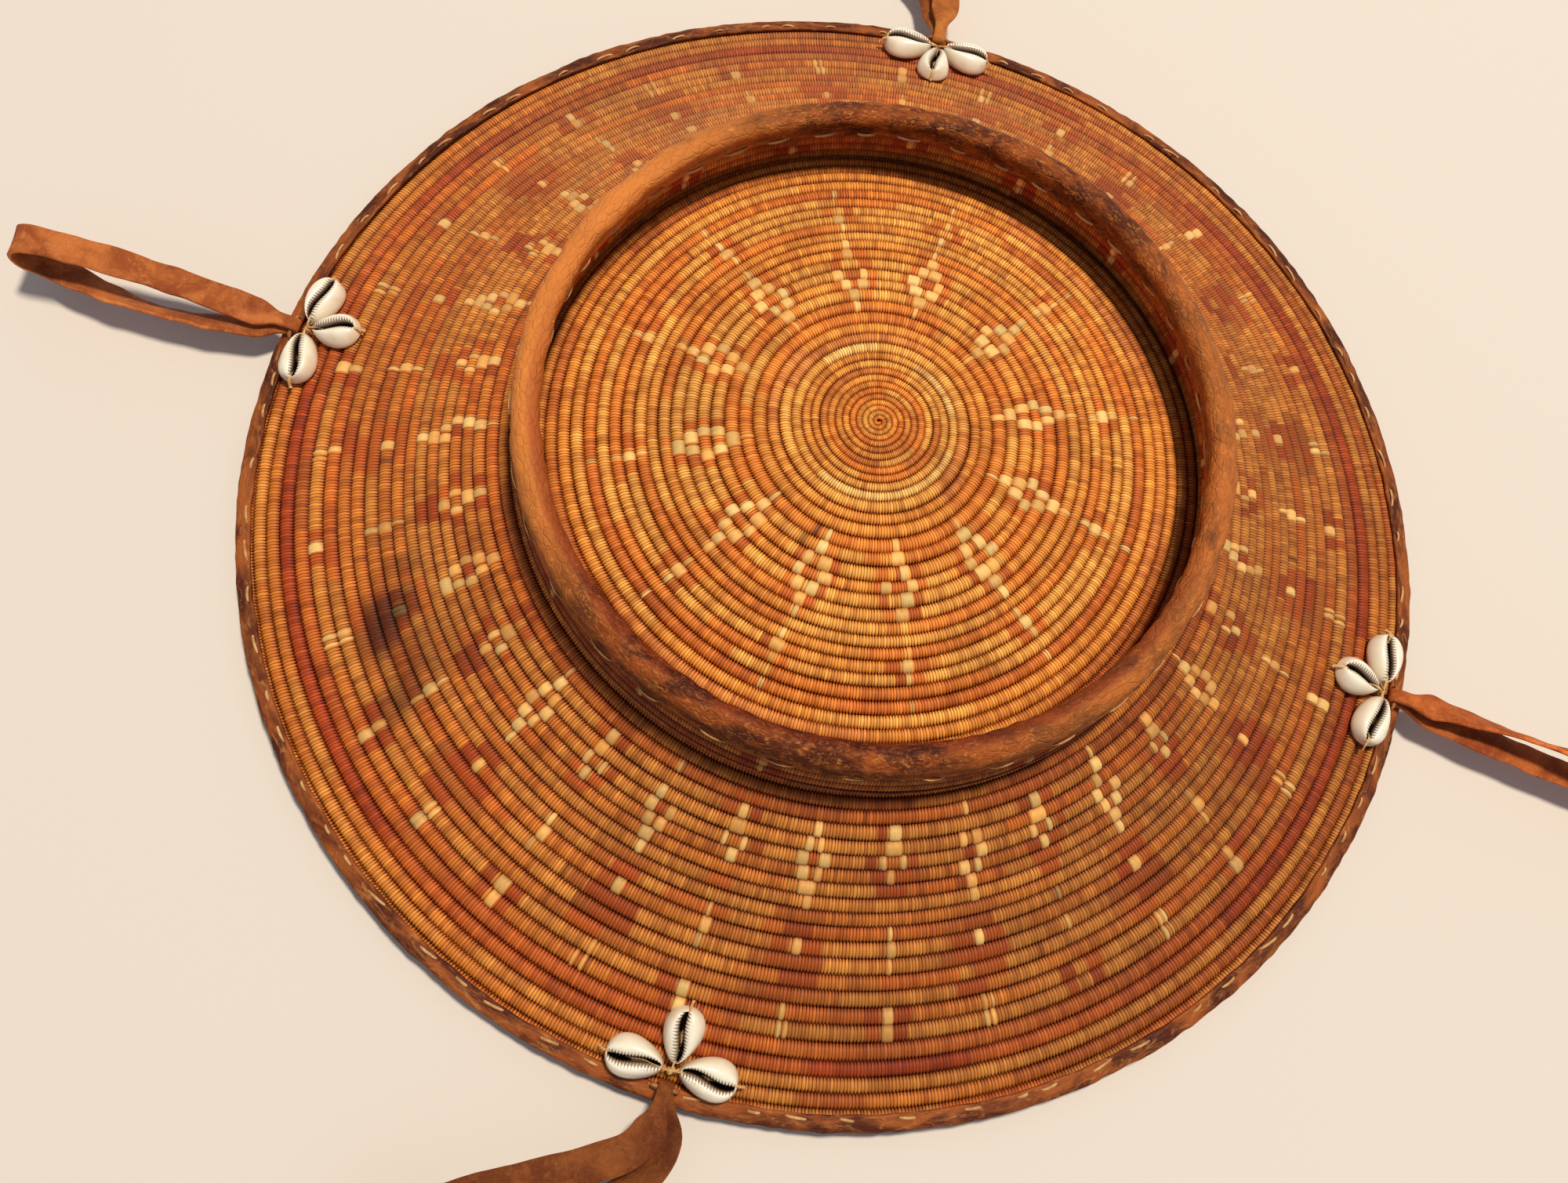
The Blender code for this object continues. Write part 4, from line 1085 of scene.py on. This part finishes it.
def sewRound(name, size, count, radius, height, out, seed, wobble, lengths=(0.75, 1.2), tilt=0.15):
    draw = np.random.RandomState(seed)
    turn = (np.arange(count) + draw.uniform(-wobble, wobble, count)) * 2 * math.pi / count
    cosine, sine = np.cos(turn), np.sin(turn)
    points = np.stack([radius * cosine, radius * sine, np.full(count, height)], 1)
    outs = np.stack([out[0] * cosine, out[0] * sine, np.full(count, out[1])], 1)
    places = bpy.data.meshes.new(name + "Places")
    places.from_pydata(points.tolist(), [], [])
    storePoints(places, "out", outs, "FLOAT_VECTOR")
    storePoints(places, "along", np.stack([-sine, cosine, np.zeros(count)], 1), "FLOAT_VECTOR")
    one = bpy.data.objects.new(name + "Dash", dashMesh(*size))
    bpy.context.scene.collection.objects.link(one)
    mesh = growMesh(name, places, stitchTree, {
        "Dash": one, "Seed": seed + 1, "Shortest": lengths[0], "Longest": lengths[1], "Tilt": tilt,
        "Material": paleThread})
    bpy.data.objects.remove(one, do_unlink=True)
    plainPiece(name, mesh, "basket", ())


def makeStitches():
    sunk = dash["sunk"]
    radius, height, along, rise = wallAt(lineEnd - dash["rimInset"], bindingOutside - sunk)
    sewRound("rimStitches", dash["rimSize"], dash["rimCount"], radius, height, (-rise, along), 71, 0.26,
             (0.55, 1.25), 0.2)
    low = rollCentre - roll["hem"] * dash["rollLow"]
    sewRound("rollOuterStitches", dash["rollOuterSize"], roll["outerStitches"],
             footRadius(low) + roll["hemOut"] + sunk, low, (0.95, -0.3), 73, 0.1)
    sewRound("rollInnerStitches", dash["rollInnerSize"], roll["innerStitches"],
             footRadius(low) - roll["hemOut"] - sunk, low, (-1.0, 0.1), 75, 0.14)
    print("running stitches made")


makeStitches()

# Cowries
cowrie = {
    "widthShare": 0.70, "height": 0.0068, "pear": 0.28, "endShare": 0.58, "endRound": 0.8,
    "slitShare": 0.88, "slitHalf": 0.0008, "slitPear": (0.75, 0.45), "floorShare": 0.15,
    "bend": 0.0012, "bendWaves": 1.7,
    "around": 208, "teethPitch": 0.00105, "toothDepth": 0.00024, "toothDip": 1.6,
    "toothReach": (0.0016, 0.0024),
    "shell": tone(244, 231, 208), "warm": tone(224, 192, 148), "warmFrom": 0.55, "warmShare": 0.7,
    # brown stain with painted shade in the grooves between the teeth
    "lip": tone(104, 62, 32), "toothStainShadeEdge": 0.0004, "toothStainShadeShare": 0.85,
    # painted shade: the near-black of the slit's floor and edge
    "dark": tone(38, 19, 10), "slitShadeWidth": 0.00035, "slitShadeShare": 0.6,
    "cloud": tone(222, 196, 158), "cloudShare": 0.35, "polish": (0.16, 0.22),
    # shares of the way from the slit to the outline, and of the height. The last six are its underside.
    "sections": ((0.0, 0.28), (0.0, 0.66), (0.02, 0.80), (0.05, 0.86), (0.10, 0.90), (0.16, 0.94),
                 (0.23, 0.97), (0.31, 0.99), (0.40, 1.0), (0.50, 0.98), (0.62, 0.91), (0.74, 0.79),
                 (0.85, 0.63), (0.94, 0.45), (1.0, 0.26), (0.985, 0.12), (0.93, 0.03), (0.80, 0.0),
                 (0.45, 0.0), (0.0, 0.0)),
    "topSections": 14, "toothSections": 4,
}


def makeShellFinish():
    material, bench = newMaterial("cowrieShell")
    place = bench.here()
    cloud = bench.noise(place, 180.0, 3.0, 0.5)
    share = bench.between(cloud, 0.45, 0.75) * cowrie["cloudShare"]
    colour = bench.mix(share, bench.read("shellColour", "Color"), cowrie["cloud"], "MULTIPLY")
    smooth, duller = cowrie["polish"]
    rough = smooth + duller * bench.between(cloud, 0.4, 0.7)
    finishMaterial(bench, colour, rough, bench.noise(place, 1400.0, 2.0, 0.6), (0.06, 0.0001), 0.55,
                   {"Coat Weight": 0.35, "Coat Roughness": 0.12})
    return material


shellFinish = makeShellFinish()


def seatOf(node, knot):
    # a shell's place from its solid: x from the knot outwards, z out of the slit, the origin under its middle
    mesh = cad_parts[node].data
    places = np.array([v.co for v in mesh.vertices], float)
    corners = places[np.array([p.vertices for p in mesh.polygons])]
    areas = np.linalg.norm(np.cross(corners[:, 1] - corners[:, 0], corners[:, 2] - corners[:, 0]), axis=1)
    middle = (corners.mean(1) * areas[:, None]).sum(0) / areas.sum()
    spread = ((corners.mean(1) - middle).T * areas) @ (corners.mean(1) - middle)
    axes = np.linalg.eigh(spread)[1]
    xAxis, zAxis = axes[:, 2], axes[:, 0]
    if np.dot(middle - knot, xAxis) < 0:
        xAxis = -xAxis
    if zAxis[2] < 0:
        zAxis = -zAxis
    yAxis = np.cross(zAxis, xAxis)
    along, aside = (places - middle) @ xAxis, (places - middle) @ yAxis
    origin = (middle + xAxis * (along.max() + along.min()) / 2 + yAxis * (aside.max() + aside.min()) / 2
              + zAxis * ((places - middle) @ zAxis).min())
    return origin, xAxis, yAxis, zAxis, along.max() - along.min()


def makeCowrie(name, node, knot, seed):
    origin, xAxis, yAxis, zAxis, length = seat = seatOf(node, knot)
    draw = np.random.RandomState(seed)
    count = cowrie["around"]
    turn = 2 * math.pi * (np.arange(count) + 0.5) / count
    cosine, sine = np.cos(turn), np.sin(turn)
    halfLong, halfWide = length / 2, length * cowrie["widthShare"] / 2
    outX = halfLong * cosine
    outY = halfWide * sine * (1.0 + cowrie["pear"] * cosine)
    slitX = halfLong * cowrie["slitShare"] * cosine
    narrow, wider = cowrie["slitPear"]
    slitY = cowrie["slitHalf"] * np.sign(sine) * np.sqrt(np.abs(sine)) * (narrow + wider * (cosine + 1.0) / 2)
    rounding = np.abs(sine) ** cowrie["endRound"]
    tall = cowrie["height"] * (cowrie["endShare"] + (1.0 - cowrie["endShare"]) * rounding)
    side = 1.0 if draw.uniform() < 0.5 else -1.0
    bend = cowrie["bend"] * draw.uniform(0.6, 1.2) * side
    # the teeth are longer on one lip
    reach = np.where(np.sign(sine) == side, cowrie["toothReach"][1], cowrie["toothReach"][0])
    reach = reach * np.abs(sine) ** 0.35
    phase = draw.uniform(0, 6.28)
    points, colours = [], []
    shell, warm, lip, dark = (np.array(cowrie[name][:3]) for name in ("shell", "warm", "lip", "dark"))
    for number, (share, rise) in enumerate(cowrie["sections"]):
        x = slitX + (outX - slitX) * share
        y = slitY + (outY - slitY) * share
        onTop = 1.0 if number < cowrie["topSections"] else 0.0
        if number == 0:
            y = y * cowrie["floorShare"]
        if number == len(cowrie["sections"]) - 1:
            x, y = x * 0.02, y * 0.0
        z = tall * rise
        away = np.hypot(x - slitX, y - slitY)
        near = np.clip(1.0 - away / reach, 0.0, 1.0) * onTop
        lines = (0.5 - 0.5 * np.cos(2 * math.pi * x / cowrie["teethPitch"] + phase)) ** 1.6
        if number > 0:
            z = z - near * lines * cowrie["toothDepth"] * cowrie["toothDip"]
        if 0 < number < cowrie["toothSections"]:
            y = y + np.sign(sine) * near * (lines - 0.4) * cowrie["toothDepth"]
        y = y + bend * np.sin(math.pi * x / length * cowrie["bendWaves"]) * (1.0 - share) * onTop
        points.append(origin + x[:, None] * xAxis + y[:, None] * yAxis + z[:, None] * zAxis)
        colour = shell + (warm - shell) * np.clip(share - cowrie["warmFrom"], 0.0, 1.0) * cowrie["warmShare"]
        # the teeth leave a saw edge of brown along each lip: part brown stain, part painted shade in the grooves
        # between the teeth
        toothStainShade = np.clip((reach * (0.35 + 0.65 * lines) - away) / cowrie["toothStainShadeEdge"], 0.0, 1.0) * onTop
        # painted shade along the slit's edge
        rim = np.clip(1.0 - away / cowrie["slitShadeWidth"], 0.0, 1.0) * onTop
        for amount, paint in ((toothStainShade * cowrie["toothStainShadeShare"], lip), (rim * cowrie["slitShadeShare"], dark)):
            colour = colour * (1.0 - amount[:, None]) + paint * amount[:, None]
        # painted shade on the slit's floor and inner sides
        colours.append(np.repeat(dark[None], count, 0) if number <= 1 else colour)
    mesh = loftMesh(name, points, shellFinish, closed=False)
    storePoints(mesh, "shellColour", np.stack(colours), "FLOAT_COLOR")
    plainPiece(name, mesh, "basket", (node,))
    return seat


# Knots and strands that hold the shells
tie = {
    "knotInset": 0.0112, "knotRise": 0.0044, "knotSize": 0.0014, "wraps": 5, "wrapSteps": 22, "wrapHigh": 0.75,
    "wrapHalf": 0.00042, "wrapThin": 0.00022,
    "strandHalf": 0.00055, "strandThin": 0.0002, "strandSteps": 36,
    "ends": 3, "endLength": (0.0025, 0.0055), "endSpread": 1.2, "endHalf": (0.00035, 0.00012), "endSteps": 10,
    "section": ((1, 0), (0.7, 0.8), (0, 1), (-0.7, 0.8), (-1, 0), (-0.7, -0.8), (0, -1), (0.7, -0.8)),
}


def strandMesh(name, points, widths, thin, ups, twist, material, closed=False):
    # a flat strand through these points
    points = np.asarray(points, float)
    tangent = toUnit(np.gradient(points, axis=0))
    side = toUnit(np.cross(tangent, ups))
    over = np.cross(side, tangent)
    turn = twist * np.linspace(0, 1, len(points))[:, None]
    side, over = side * np.cos(turn) + over * np.sin(turn), over * np.cos(turn) - side * np.sin(turn)
    thins = np.full(len(points), thin)
    rings = [points + side * (cosine * widths)[:, None] + over * (sine * thins)[:, None]
             for cosine, sine in tie["section"]]
    return loftMesh(name, np.stack(rings, 1), material, closed)


def smoothRoute(points, count):
    # a rounded route through a few points
    points = np.asarray(points, float)
    steps = np.linalg.norm(np.diff(points, axis=0), axis=1)
    at = np.concatenate([[0], np.cumsum(steps)])
    fine = np.linspace(0, at[-1], count)
    route = np.stack([np.interp(fine, at, points[:, k]) for k in range(3)], 1)
    for _ in range(4):
        route[1:-1] = (route[:-2] + route[1:-1] * 2 + route[2:]) / 4
    return route


def joinMeshes(name, meshes, material):
    vertices, faces = [], []
    for mesh in meshes:
        base = len(vertices)
        vertices += [tuple(v.co) for v in mesh.vertices]
        faces += [tuple(base + i for i in p.vertices) for p in mesh.polygons]
        bpy.data.meshes.remove(mesh)
    joined = bpy.data.meshes.new(name)
    joined.from_pydata(vertices, [], faces)
    joined.materials.append(material)
    joined.shade_smooth()
    return joined


def makeTie(side, knot, up, seats, seed):
    draw = np.random.RandomState(seed)
    parts = []
    top = knot + up * tie["knotRise"]
    # strands from the knot through each shell's slit and out at its far end
    for origin, xAxis, yAxis, zAxis, length in seats:
        tall = cowrie["height"]
        brow, deep = tall * 0.66, tall * 0.34

        def at(along, aside, high, past=0.0):
            return origin + xAxis * (along * length / 2 + past) + yAxis * aside + zAxis * high

        route = [top, at(-0.98, draw.uniform(-0.0004, 0.0004), brow), at(-0.80, 0.0, brow + 0.0003),
                 at(-draw.uniform(0.52, 0.66), 0.0, tall * 0.72), at(-0.38, 0.0, deep), at(0.55, 0.0, deep),
                 at(0.76, 0.0, tall * 0.62), at(0.90, 0.0, brow),
                 at(1.0, draw.uniform(-0.0005, 0.0005), brow * 0.8, 0.0008),
                 at(1.0, draw.uniform(-0.0008, 0.0008), brow * 0.25, 0.0022)]
        steps = tie["strandSteps"]
        widths = np.full(steps, tie["strandHalf"]) * (0.85 + 0.3 * np.sin(np.linspace(0, 9, steps) + seed))
        parts.append(strandMesh("strand", smoothRoute(route, steps), widths, tie["strandThin"], zAxis, 0.4,
                                raffia))
    # wraps of the knot
    axis = np.array(Vector(up).orthogonal().normalized())
    middle = knot + up * tie["knotRise"] * tie["wrapHigh"]
    turn = np.linspace(0, 2 * math.pi, tie["wrapSteps"], endpoint=False)
    for wrap in range(tie["wraps"]):
        lean = draw.uniform(-0.5, 0.5)
        angle = draw.uniform(0, math.pi)
        first = axis * math.cos(angle) + np.cross(up, axis) * math.sin(angle)
        second = np.cross(up, first)
        size = tie["knotSize"] * draw.uniform(0.75, 1.05)
        loop = middle + np.outer(np.cos(turn), first) * size
        loop = loop + np.outer(np.sin(turn), up * 0.9 + second * lean) * size * 0.8
        parts.append(strandMesh("wrap", loop, np.full(len(turn), tie["wrapHalf"]), tie["wrapThin"],
                                loop - middle + up * 1e-6, 0.0, raffia, closed=True))
    # loose ends, none of them towards the loop
    inward = toUnit(np.cross(np.cross(up, -toUnit(knot)), up))
    for end in range(tie["ends"]):
        angle = draw.uniform(-tie["endSpread"], tie["endSpread"])
        aside = inward * math.cos(angle) + np.cross(up, inward) * math.sin(angle)
        length = draw.uniform(*tie["endLength"])
        route = [top, knot + up * (tie["knotRise"] + 0.0012) + aside * length * 0.4,
                 knot + up * (tie["knotRise"] + 0.0016) + aside * length]
        widths = np.linspace(*tie["endHalf"], tie["endSteps"])
        parts.append(strandMesh("end", smoothRoute(route, tie["endSteps"]), widths, widths[-1], up, 1.0, raffia))
    name = "shellTie" + side.capitalize()
    plainPiece(name, joinMeshes(name, parts, raffia), "basket", ("shell_tie_" + side,))


# The four flowers with their loops. Lengths are in metres and turns in degrees.
flowers = (
    {"side": "front", "azimuth": -86.1, "bend": -60.0, "run": 0.04, "turn": 0.26, "reach": 0.104,
     "sway": 0.015, "lowerTwist": -42.0, "upperTwist": 5.0, "tint": (0.36, 0.29, 0.22)},
    {"side": "left", "azimuth": -175.7, "bend": 6.0, "run": 0.0, "turn": 1.0, "reach": 0.095,
     "sway": 0.009, "lowerTwist": -50.0, "upperTwist": 10.0, "tint": (0.78, 0.66, 0.62)},
    {"side": "right", "azimuth": 1.7, "bend": -7.0, "run": 0.0, "turn": 1.0, "reach": 0.104,
     "sway": -0.0035, "lowerTwist": 18.0, "upperTwist": -64.0, "tint": (0.80, 0.58, 0.46)},
    {"side": "back", "azimuth": 99.5, "bend": 46.0, "run": 0.08, "turn": 0.34, "reach": 0.104,
     "sway": 0.007, "lowerTwist": 30.0, "upperTwist": 9.0, "tint": (0.72, 0.66, 0.52)},
)


def makeFlowers():
    radius, height, along, rise = wallAt(lineEnd - tie["knotInset"], wall["halfThickness"])
    for number, flower in enumerate(flowers):
        side = flower["side"]
        angle = math.radians(flower["azimuth"])
        knot = np.array([radius * math.cos(angle), radius * math.sin(angle), height])
        up = np.array([-rise * math.cos(angle), -rise * math.sin(angle), along])
        seats = []
        for place, which in enumerate(("left", "middle", "right")):
            name = "cowrie" + side.capitalize() + which.capitalize()
            node = "cowrie_" + side + "_" + which
            seats.append(makeCowrie(name, node, knot, 300 + number * 10 + place))
        makeTie(side, knot, up, seats, 400 + number)
    print("shells and ties made")


makeFlowers()

# The leather loops
strap = {
    "width": 0.0115, "rootWidth": 0.0050, "thickness": 0.0016, "neck": 0.0045, "taper": 0.0095,
    "tipBend": 0.0072, "tipLift": 0.0065, "steps": 70, "bendSteps": 14, "planSteps": 60,
    "eye": 0.0019, "stitchInset": 0.0055, "stitchRise": 0.0032,
    # painted shade: the side inside the loop is tinted darker
    "edgeTint": 1.45, "insideShadeTint": 0.84,
    "edgeWander": 0.0004, "leftLengths": (0.041, 0.017, 0.063), "rightLengths": (0.037, 0.021, 0.058),
    "buckle": 0.0004, "buckleLengths": (0.019, 0.031, 0.012), "cup": 0.0003, "stiffNear": 0.006,
    "nudgeSize": 0.004, "nudge": 0.00012,
    # across the leather, round its section: share of the half width, and of the half thickness
    "section": ((1.0, 0.55), (0.96, 1.0), (0.6, 1.0), (0.2, 1.0), (-0.2, 1.0), (-0.6, 1.0), (-0.96, 1.0),
                (-1.0, 0.55), (-1.0, -0.55), (-0.96, -1.0), (-0.6, -1.0), (-0.2, -1.0), (0.2, -1.0),
                (0.6, -1.0), (0.96, -1.0), (1.0, -0.55)),
}
stitchRadius, stitchHeight = (float(v) for v in wallAt(
    lineEnd - strap["stitchInset"], bindingOutside + strap["stitchRise"])[:2])


def loopTurn(flower):
    # from the loop's own axes, with its stitch at the origin, to its place on the rim
    angle = math.radians(flower["azimuth"])
    return Matrix.Rotation(angle, 4, "Z") @ Matrix.Translation((stitchRadius, 0.0, stitchHeight))


def strapPlan(flower, reachShare):
    position, heading = Vector((0.0, 0.0)), 0.0
    pieces = max(1, round(reachShare * strap["planSteps"]))
    for i in range(pieces):
        share = reachShare * (i + 0.5) / pieces
        heading = math.radians(flower["bend"]) * smoothShare((share - flower["run"]) / flower["turn"])
        position += Vector((math.cos(heading), math.sin(heading))) * flower["reach"] * reachShare / pieces
    return position.to_3d(), heading


def strapSections(flower):
    # point, heading, twist and width, all the way round the closed loop
    eye, root, steps, bendSteps = strap["eye"], strap["rootWidth"], strap["steps"], strap["bendSteps"]
    lift, bendRadius = strap["tipLift"], strap["tipBend"]
    up = Vector((0.0, 0.0, 1.0))
    tip, tipHeading = strapPlan(flower, 1.0)
    outward = Vector((math.cos(tipHeading), math.sin(tipHeading), 0.0))

    def strand(share, upper):
        plan, heading = strapPlan(flower, share)
        fromNeck = share * flower["reach"] - strap["neck"]
        width = root + (strap["width"] - root) * smoothShare(fromNeck / strap["taper"])
        belly = math.sin(math.pi * share)
        twist = math.radians(flower["upperTwist" if upper else "lowerTwist"]) * belly
        if upper:
            height = eye + (lift + bendRadius - eye) * smoothShare(share)
            return plan + up * height, heading, twist, width
        height = -eye + (lift - bendRadius + eye) * smoothShare(share)
        aside = Vector((-math.sin(heading), math.cos(heading), 0.0)) * flower["sway"] * belly
        return plan + aside + up * height, heading, twist, width

    sections = []
    for i in range(bendSteps):
        angle = math.radians(270.0 - 180.0 * i / bendSteps)
        sections.append((Vector((eye * math.cos(angle), 0.0, eye * math.sin(angle))), 0.0, 0.0, root))
    sections += [strand(i / steps, True) for i in range(steps + 1)]
    for i in range(1, bendSteps):
        angle = math.radians(90.0 - 180.0 * i / bendSteps)
        bend = outward * math.cos(angle) + up * math.sin(angle)
        sections.append((tip + up * lift + bend * bendRadius, tipHeading, 0.0, strap["width"]))
    return sections + [strand(i / steps, False) for i in range(steps, 0, -1)]


def makeStrap(flower, seed):
    sections = strapSections(flower)
    count = len(sections)
    points = np.array([s[0] for s in sections])
    for _ in range(3):
        points = (np.roll(points, 1, 0) + points * 2 + np.roll(points, -1, 0)) / 4
    lengths = np.cumsum(np.linalg.norm(np.roll(points, -1, 0) - points, axis=1))
    free = np.clip([(s[3] - strap["rootWidth"]) / strap["stiffNear"] for s in sections], 0.0, 1.0)
    leftEdge = waves(lengths, strap["leftLengths"], seed) * strap["edgeWander"] * free
    rightEdge = waves(lengths, strap["rightLengths"], seed + 1) * strap["edgeWander"] * free
    buckle = waves(lengths, strap["buckleLengths"], seed + 2) * strap["buckle"] * free
    turn = loopTurn(flower)
    rings = []
    for i, (point, heading, twist, width) in enumerate(sections):
        along = Vector(points[(i + 1) % count] - points[i - 1]).normalized()
        side = Vector((-math.sin(heading), math.cos(heading), 0.0))
        side = (side - along * side.dot(along)).normalized()
        side.rotate(Matrix.Rotation(twist, 3, along))
        out = along.cross(side)
        ring = []
        for a, b in strap["section"]:
            reach = width / 2 + (leftEdge[i] if a > 0 else rightEdge[i])
            cup = strap["cup"] * (a * a - 0.4) * free[i] + buckle[i] * a
            place = Vector(points[i]) + side * reach * a + out * (strap["thickness"] / 2 * b + cup)
            ring.append(turn @ place)
        rings.append(ring)
    name = "leatherLoop" + flower["side"].capitalize()
    mesh = loftMesh(name, rings, strapLeather)
    # cut edges are paler, and the side inside the loop gets painted shade
    shades = [strap["edgeTint"] if abs(a) == 1.0 else strap["insideShadeTint"] if b < 0 else 1.0
              for a, b in strap["section"]]
    storePoints(mesh, "loopTint", np.array(flower["tint"]) * np.tile(shades, count)[:, None], "FLOAT_COLOR")
    places = np.array([v.co for v in mesh.vertices])
    normals = np.array([v.normal for v in mesh.vertices])
    nudge = roughen(places, strap["nudgeSize"], seed % 7) * strap["nudge"]
    places = places + normals * nudge[:, None]
    mesh.vertices.foreach_set("co", places.astype(np.float32).ravel())
    mesh.update()
    plainPiece(name, mesh, "strap_" + flower["side"], ("strap_loop_" + flower["side"],))


# The thong that each loop hangs on
loopStitch = {
    "clear": 0.0003, "radius": 0.0008, "corner": 0.0007, "bendDrop": 0.0009, "sunk": 0.0006,
    "half": 0.00078, "thin": 0.00062, "steps": 34, "twist": 1.2, "lean": (1.0, 0.0, 0.15),
}


def makeLoopStitch(flower):
    radius, drop = loopStitch["radius"], loopStitch["bendDrop"]
    reach = strap["rootWidth"] / 2 + loopStitch["clear"] + radius + loopStitch["corner"]
    foot = -(strap["eye"] + strap["thickness"] / 2) - loopStitch["sunk"]
    route = [(0.0, -reach, foot), (0.0, -reach, -drop), (0.0, -reach + radius, 0.0),
             (0.0, reach - radius, 0.0), (0.0, reach, -drop), (0.0, reach, foot)]
    steps = loopStitch["steps"]
    name = "loopStitch" + flower["side"].capitalize()
    mesh = strandMesh(name, smoothRoute(route, steps), np.full(steps, loopStitch["half"]), loopStitch["thin"],
                      loopStitch["lean"], loopStitch["twist"], thong)
    mesh.transform(loopTurn(flower))
    plainPiece(name, mesh, "basket", ("strap_stitch_" + flower["side"],))


for number, flower in enumerate(flowers):
    makeStrap(flower, 500 + number * 10)
    makeLoopStitch(flower)
print("leather loops made")

# The table and the light
table = {
    "size": 3.0, "thickness": 0.02, "below": 0.0002,
    "colour": tone(219, 206, 195), "speck": tone(220, 202, 184), "speckShare": 0.15,
}
lamp = {
    "azimuth": 67.0, "elevation": 79.0, "distance": 4.0, "size": 0.6, "power": 164.0,
    "colour": (1.0, 0.93, 0.79),
}
room = {"colour": (0.80, 0.93, 1.08, 1.0), "strength": 0.316}


def makeTable():
    half, deep = table["size"] / 2, table["thickness"]
    corners = [(x * half, y * half, z) for z in (-deep, 0.0) for x, y in ((-1, -1), (1, -1), (1, 1), (-1, 1))]
    faces = [(3, 2, 1, 0), (4, 5, 6, 7), (0, 1, 5, 4), (1, 2, 6, 5), (2, 3, 7, 6), (3, 0, 4, 7)]
    mesh = bpy.data.meshes.new("table")
    mesh.from_pydata(corners, [], faces)
    material, bench = newMaterial("palePaper")
    speck = bench.noise(bench.here(), 600.0, 3.0, 0.6)
    share = bench.between(speck, 0.4, 0.7) * table["speckShare"]
    finishMaterial(bench, bench.mix(share, table["colour"], table["speck"]), 0.9, speck, (0.05, 0.0001), 0.2)
    mesh.materials.append(material)
    top = bpy.data.objects.new("table", mesh)
    top.location.z = -table["below"]
    bpy.context.scene.collection.objects.link(top)


def addLamp():
    light = bpy.data.objects.new("roomLamp", bpy.data.lights.new("roomLamp", "AREA"))
    light.data.shape = "DISK"
    light.data.size = lamp["size"]
    light.data.energy = lamp["power"]
    light.data.color = lamp["colour"]
    a, e = math.radians(lamp["azimuth"]), math.radians(lamp["elevation"])
    towards = Vector((math.cos(a) * math.cos(e), math.sin(a) * math.cos(e), math.sin(e)))
    light.location = towards * lamp["distance"]
    light.rotation_euler = (-light.location).to_track_quat("-Z", "Y").to_euler()
    bpy.context.scene.collection.objects.link(light)


makeTable()
addLamp()
world = bpy.data.worlds.new("room")
bpy.context.scene.world = world
world.use_nodes = True
background = world.node_tree.nodes["Background"]
background.inputs["Color"].default_value = room["colour"]
background.inputs["Strength"].default_value = room["strength"]
bpy.context.scene.view_settings.view_transform = "Standard"
print("table and lights set")
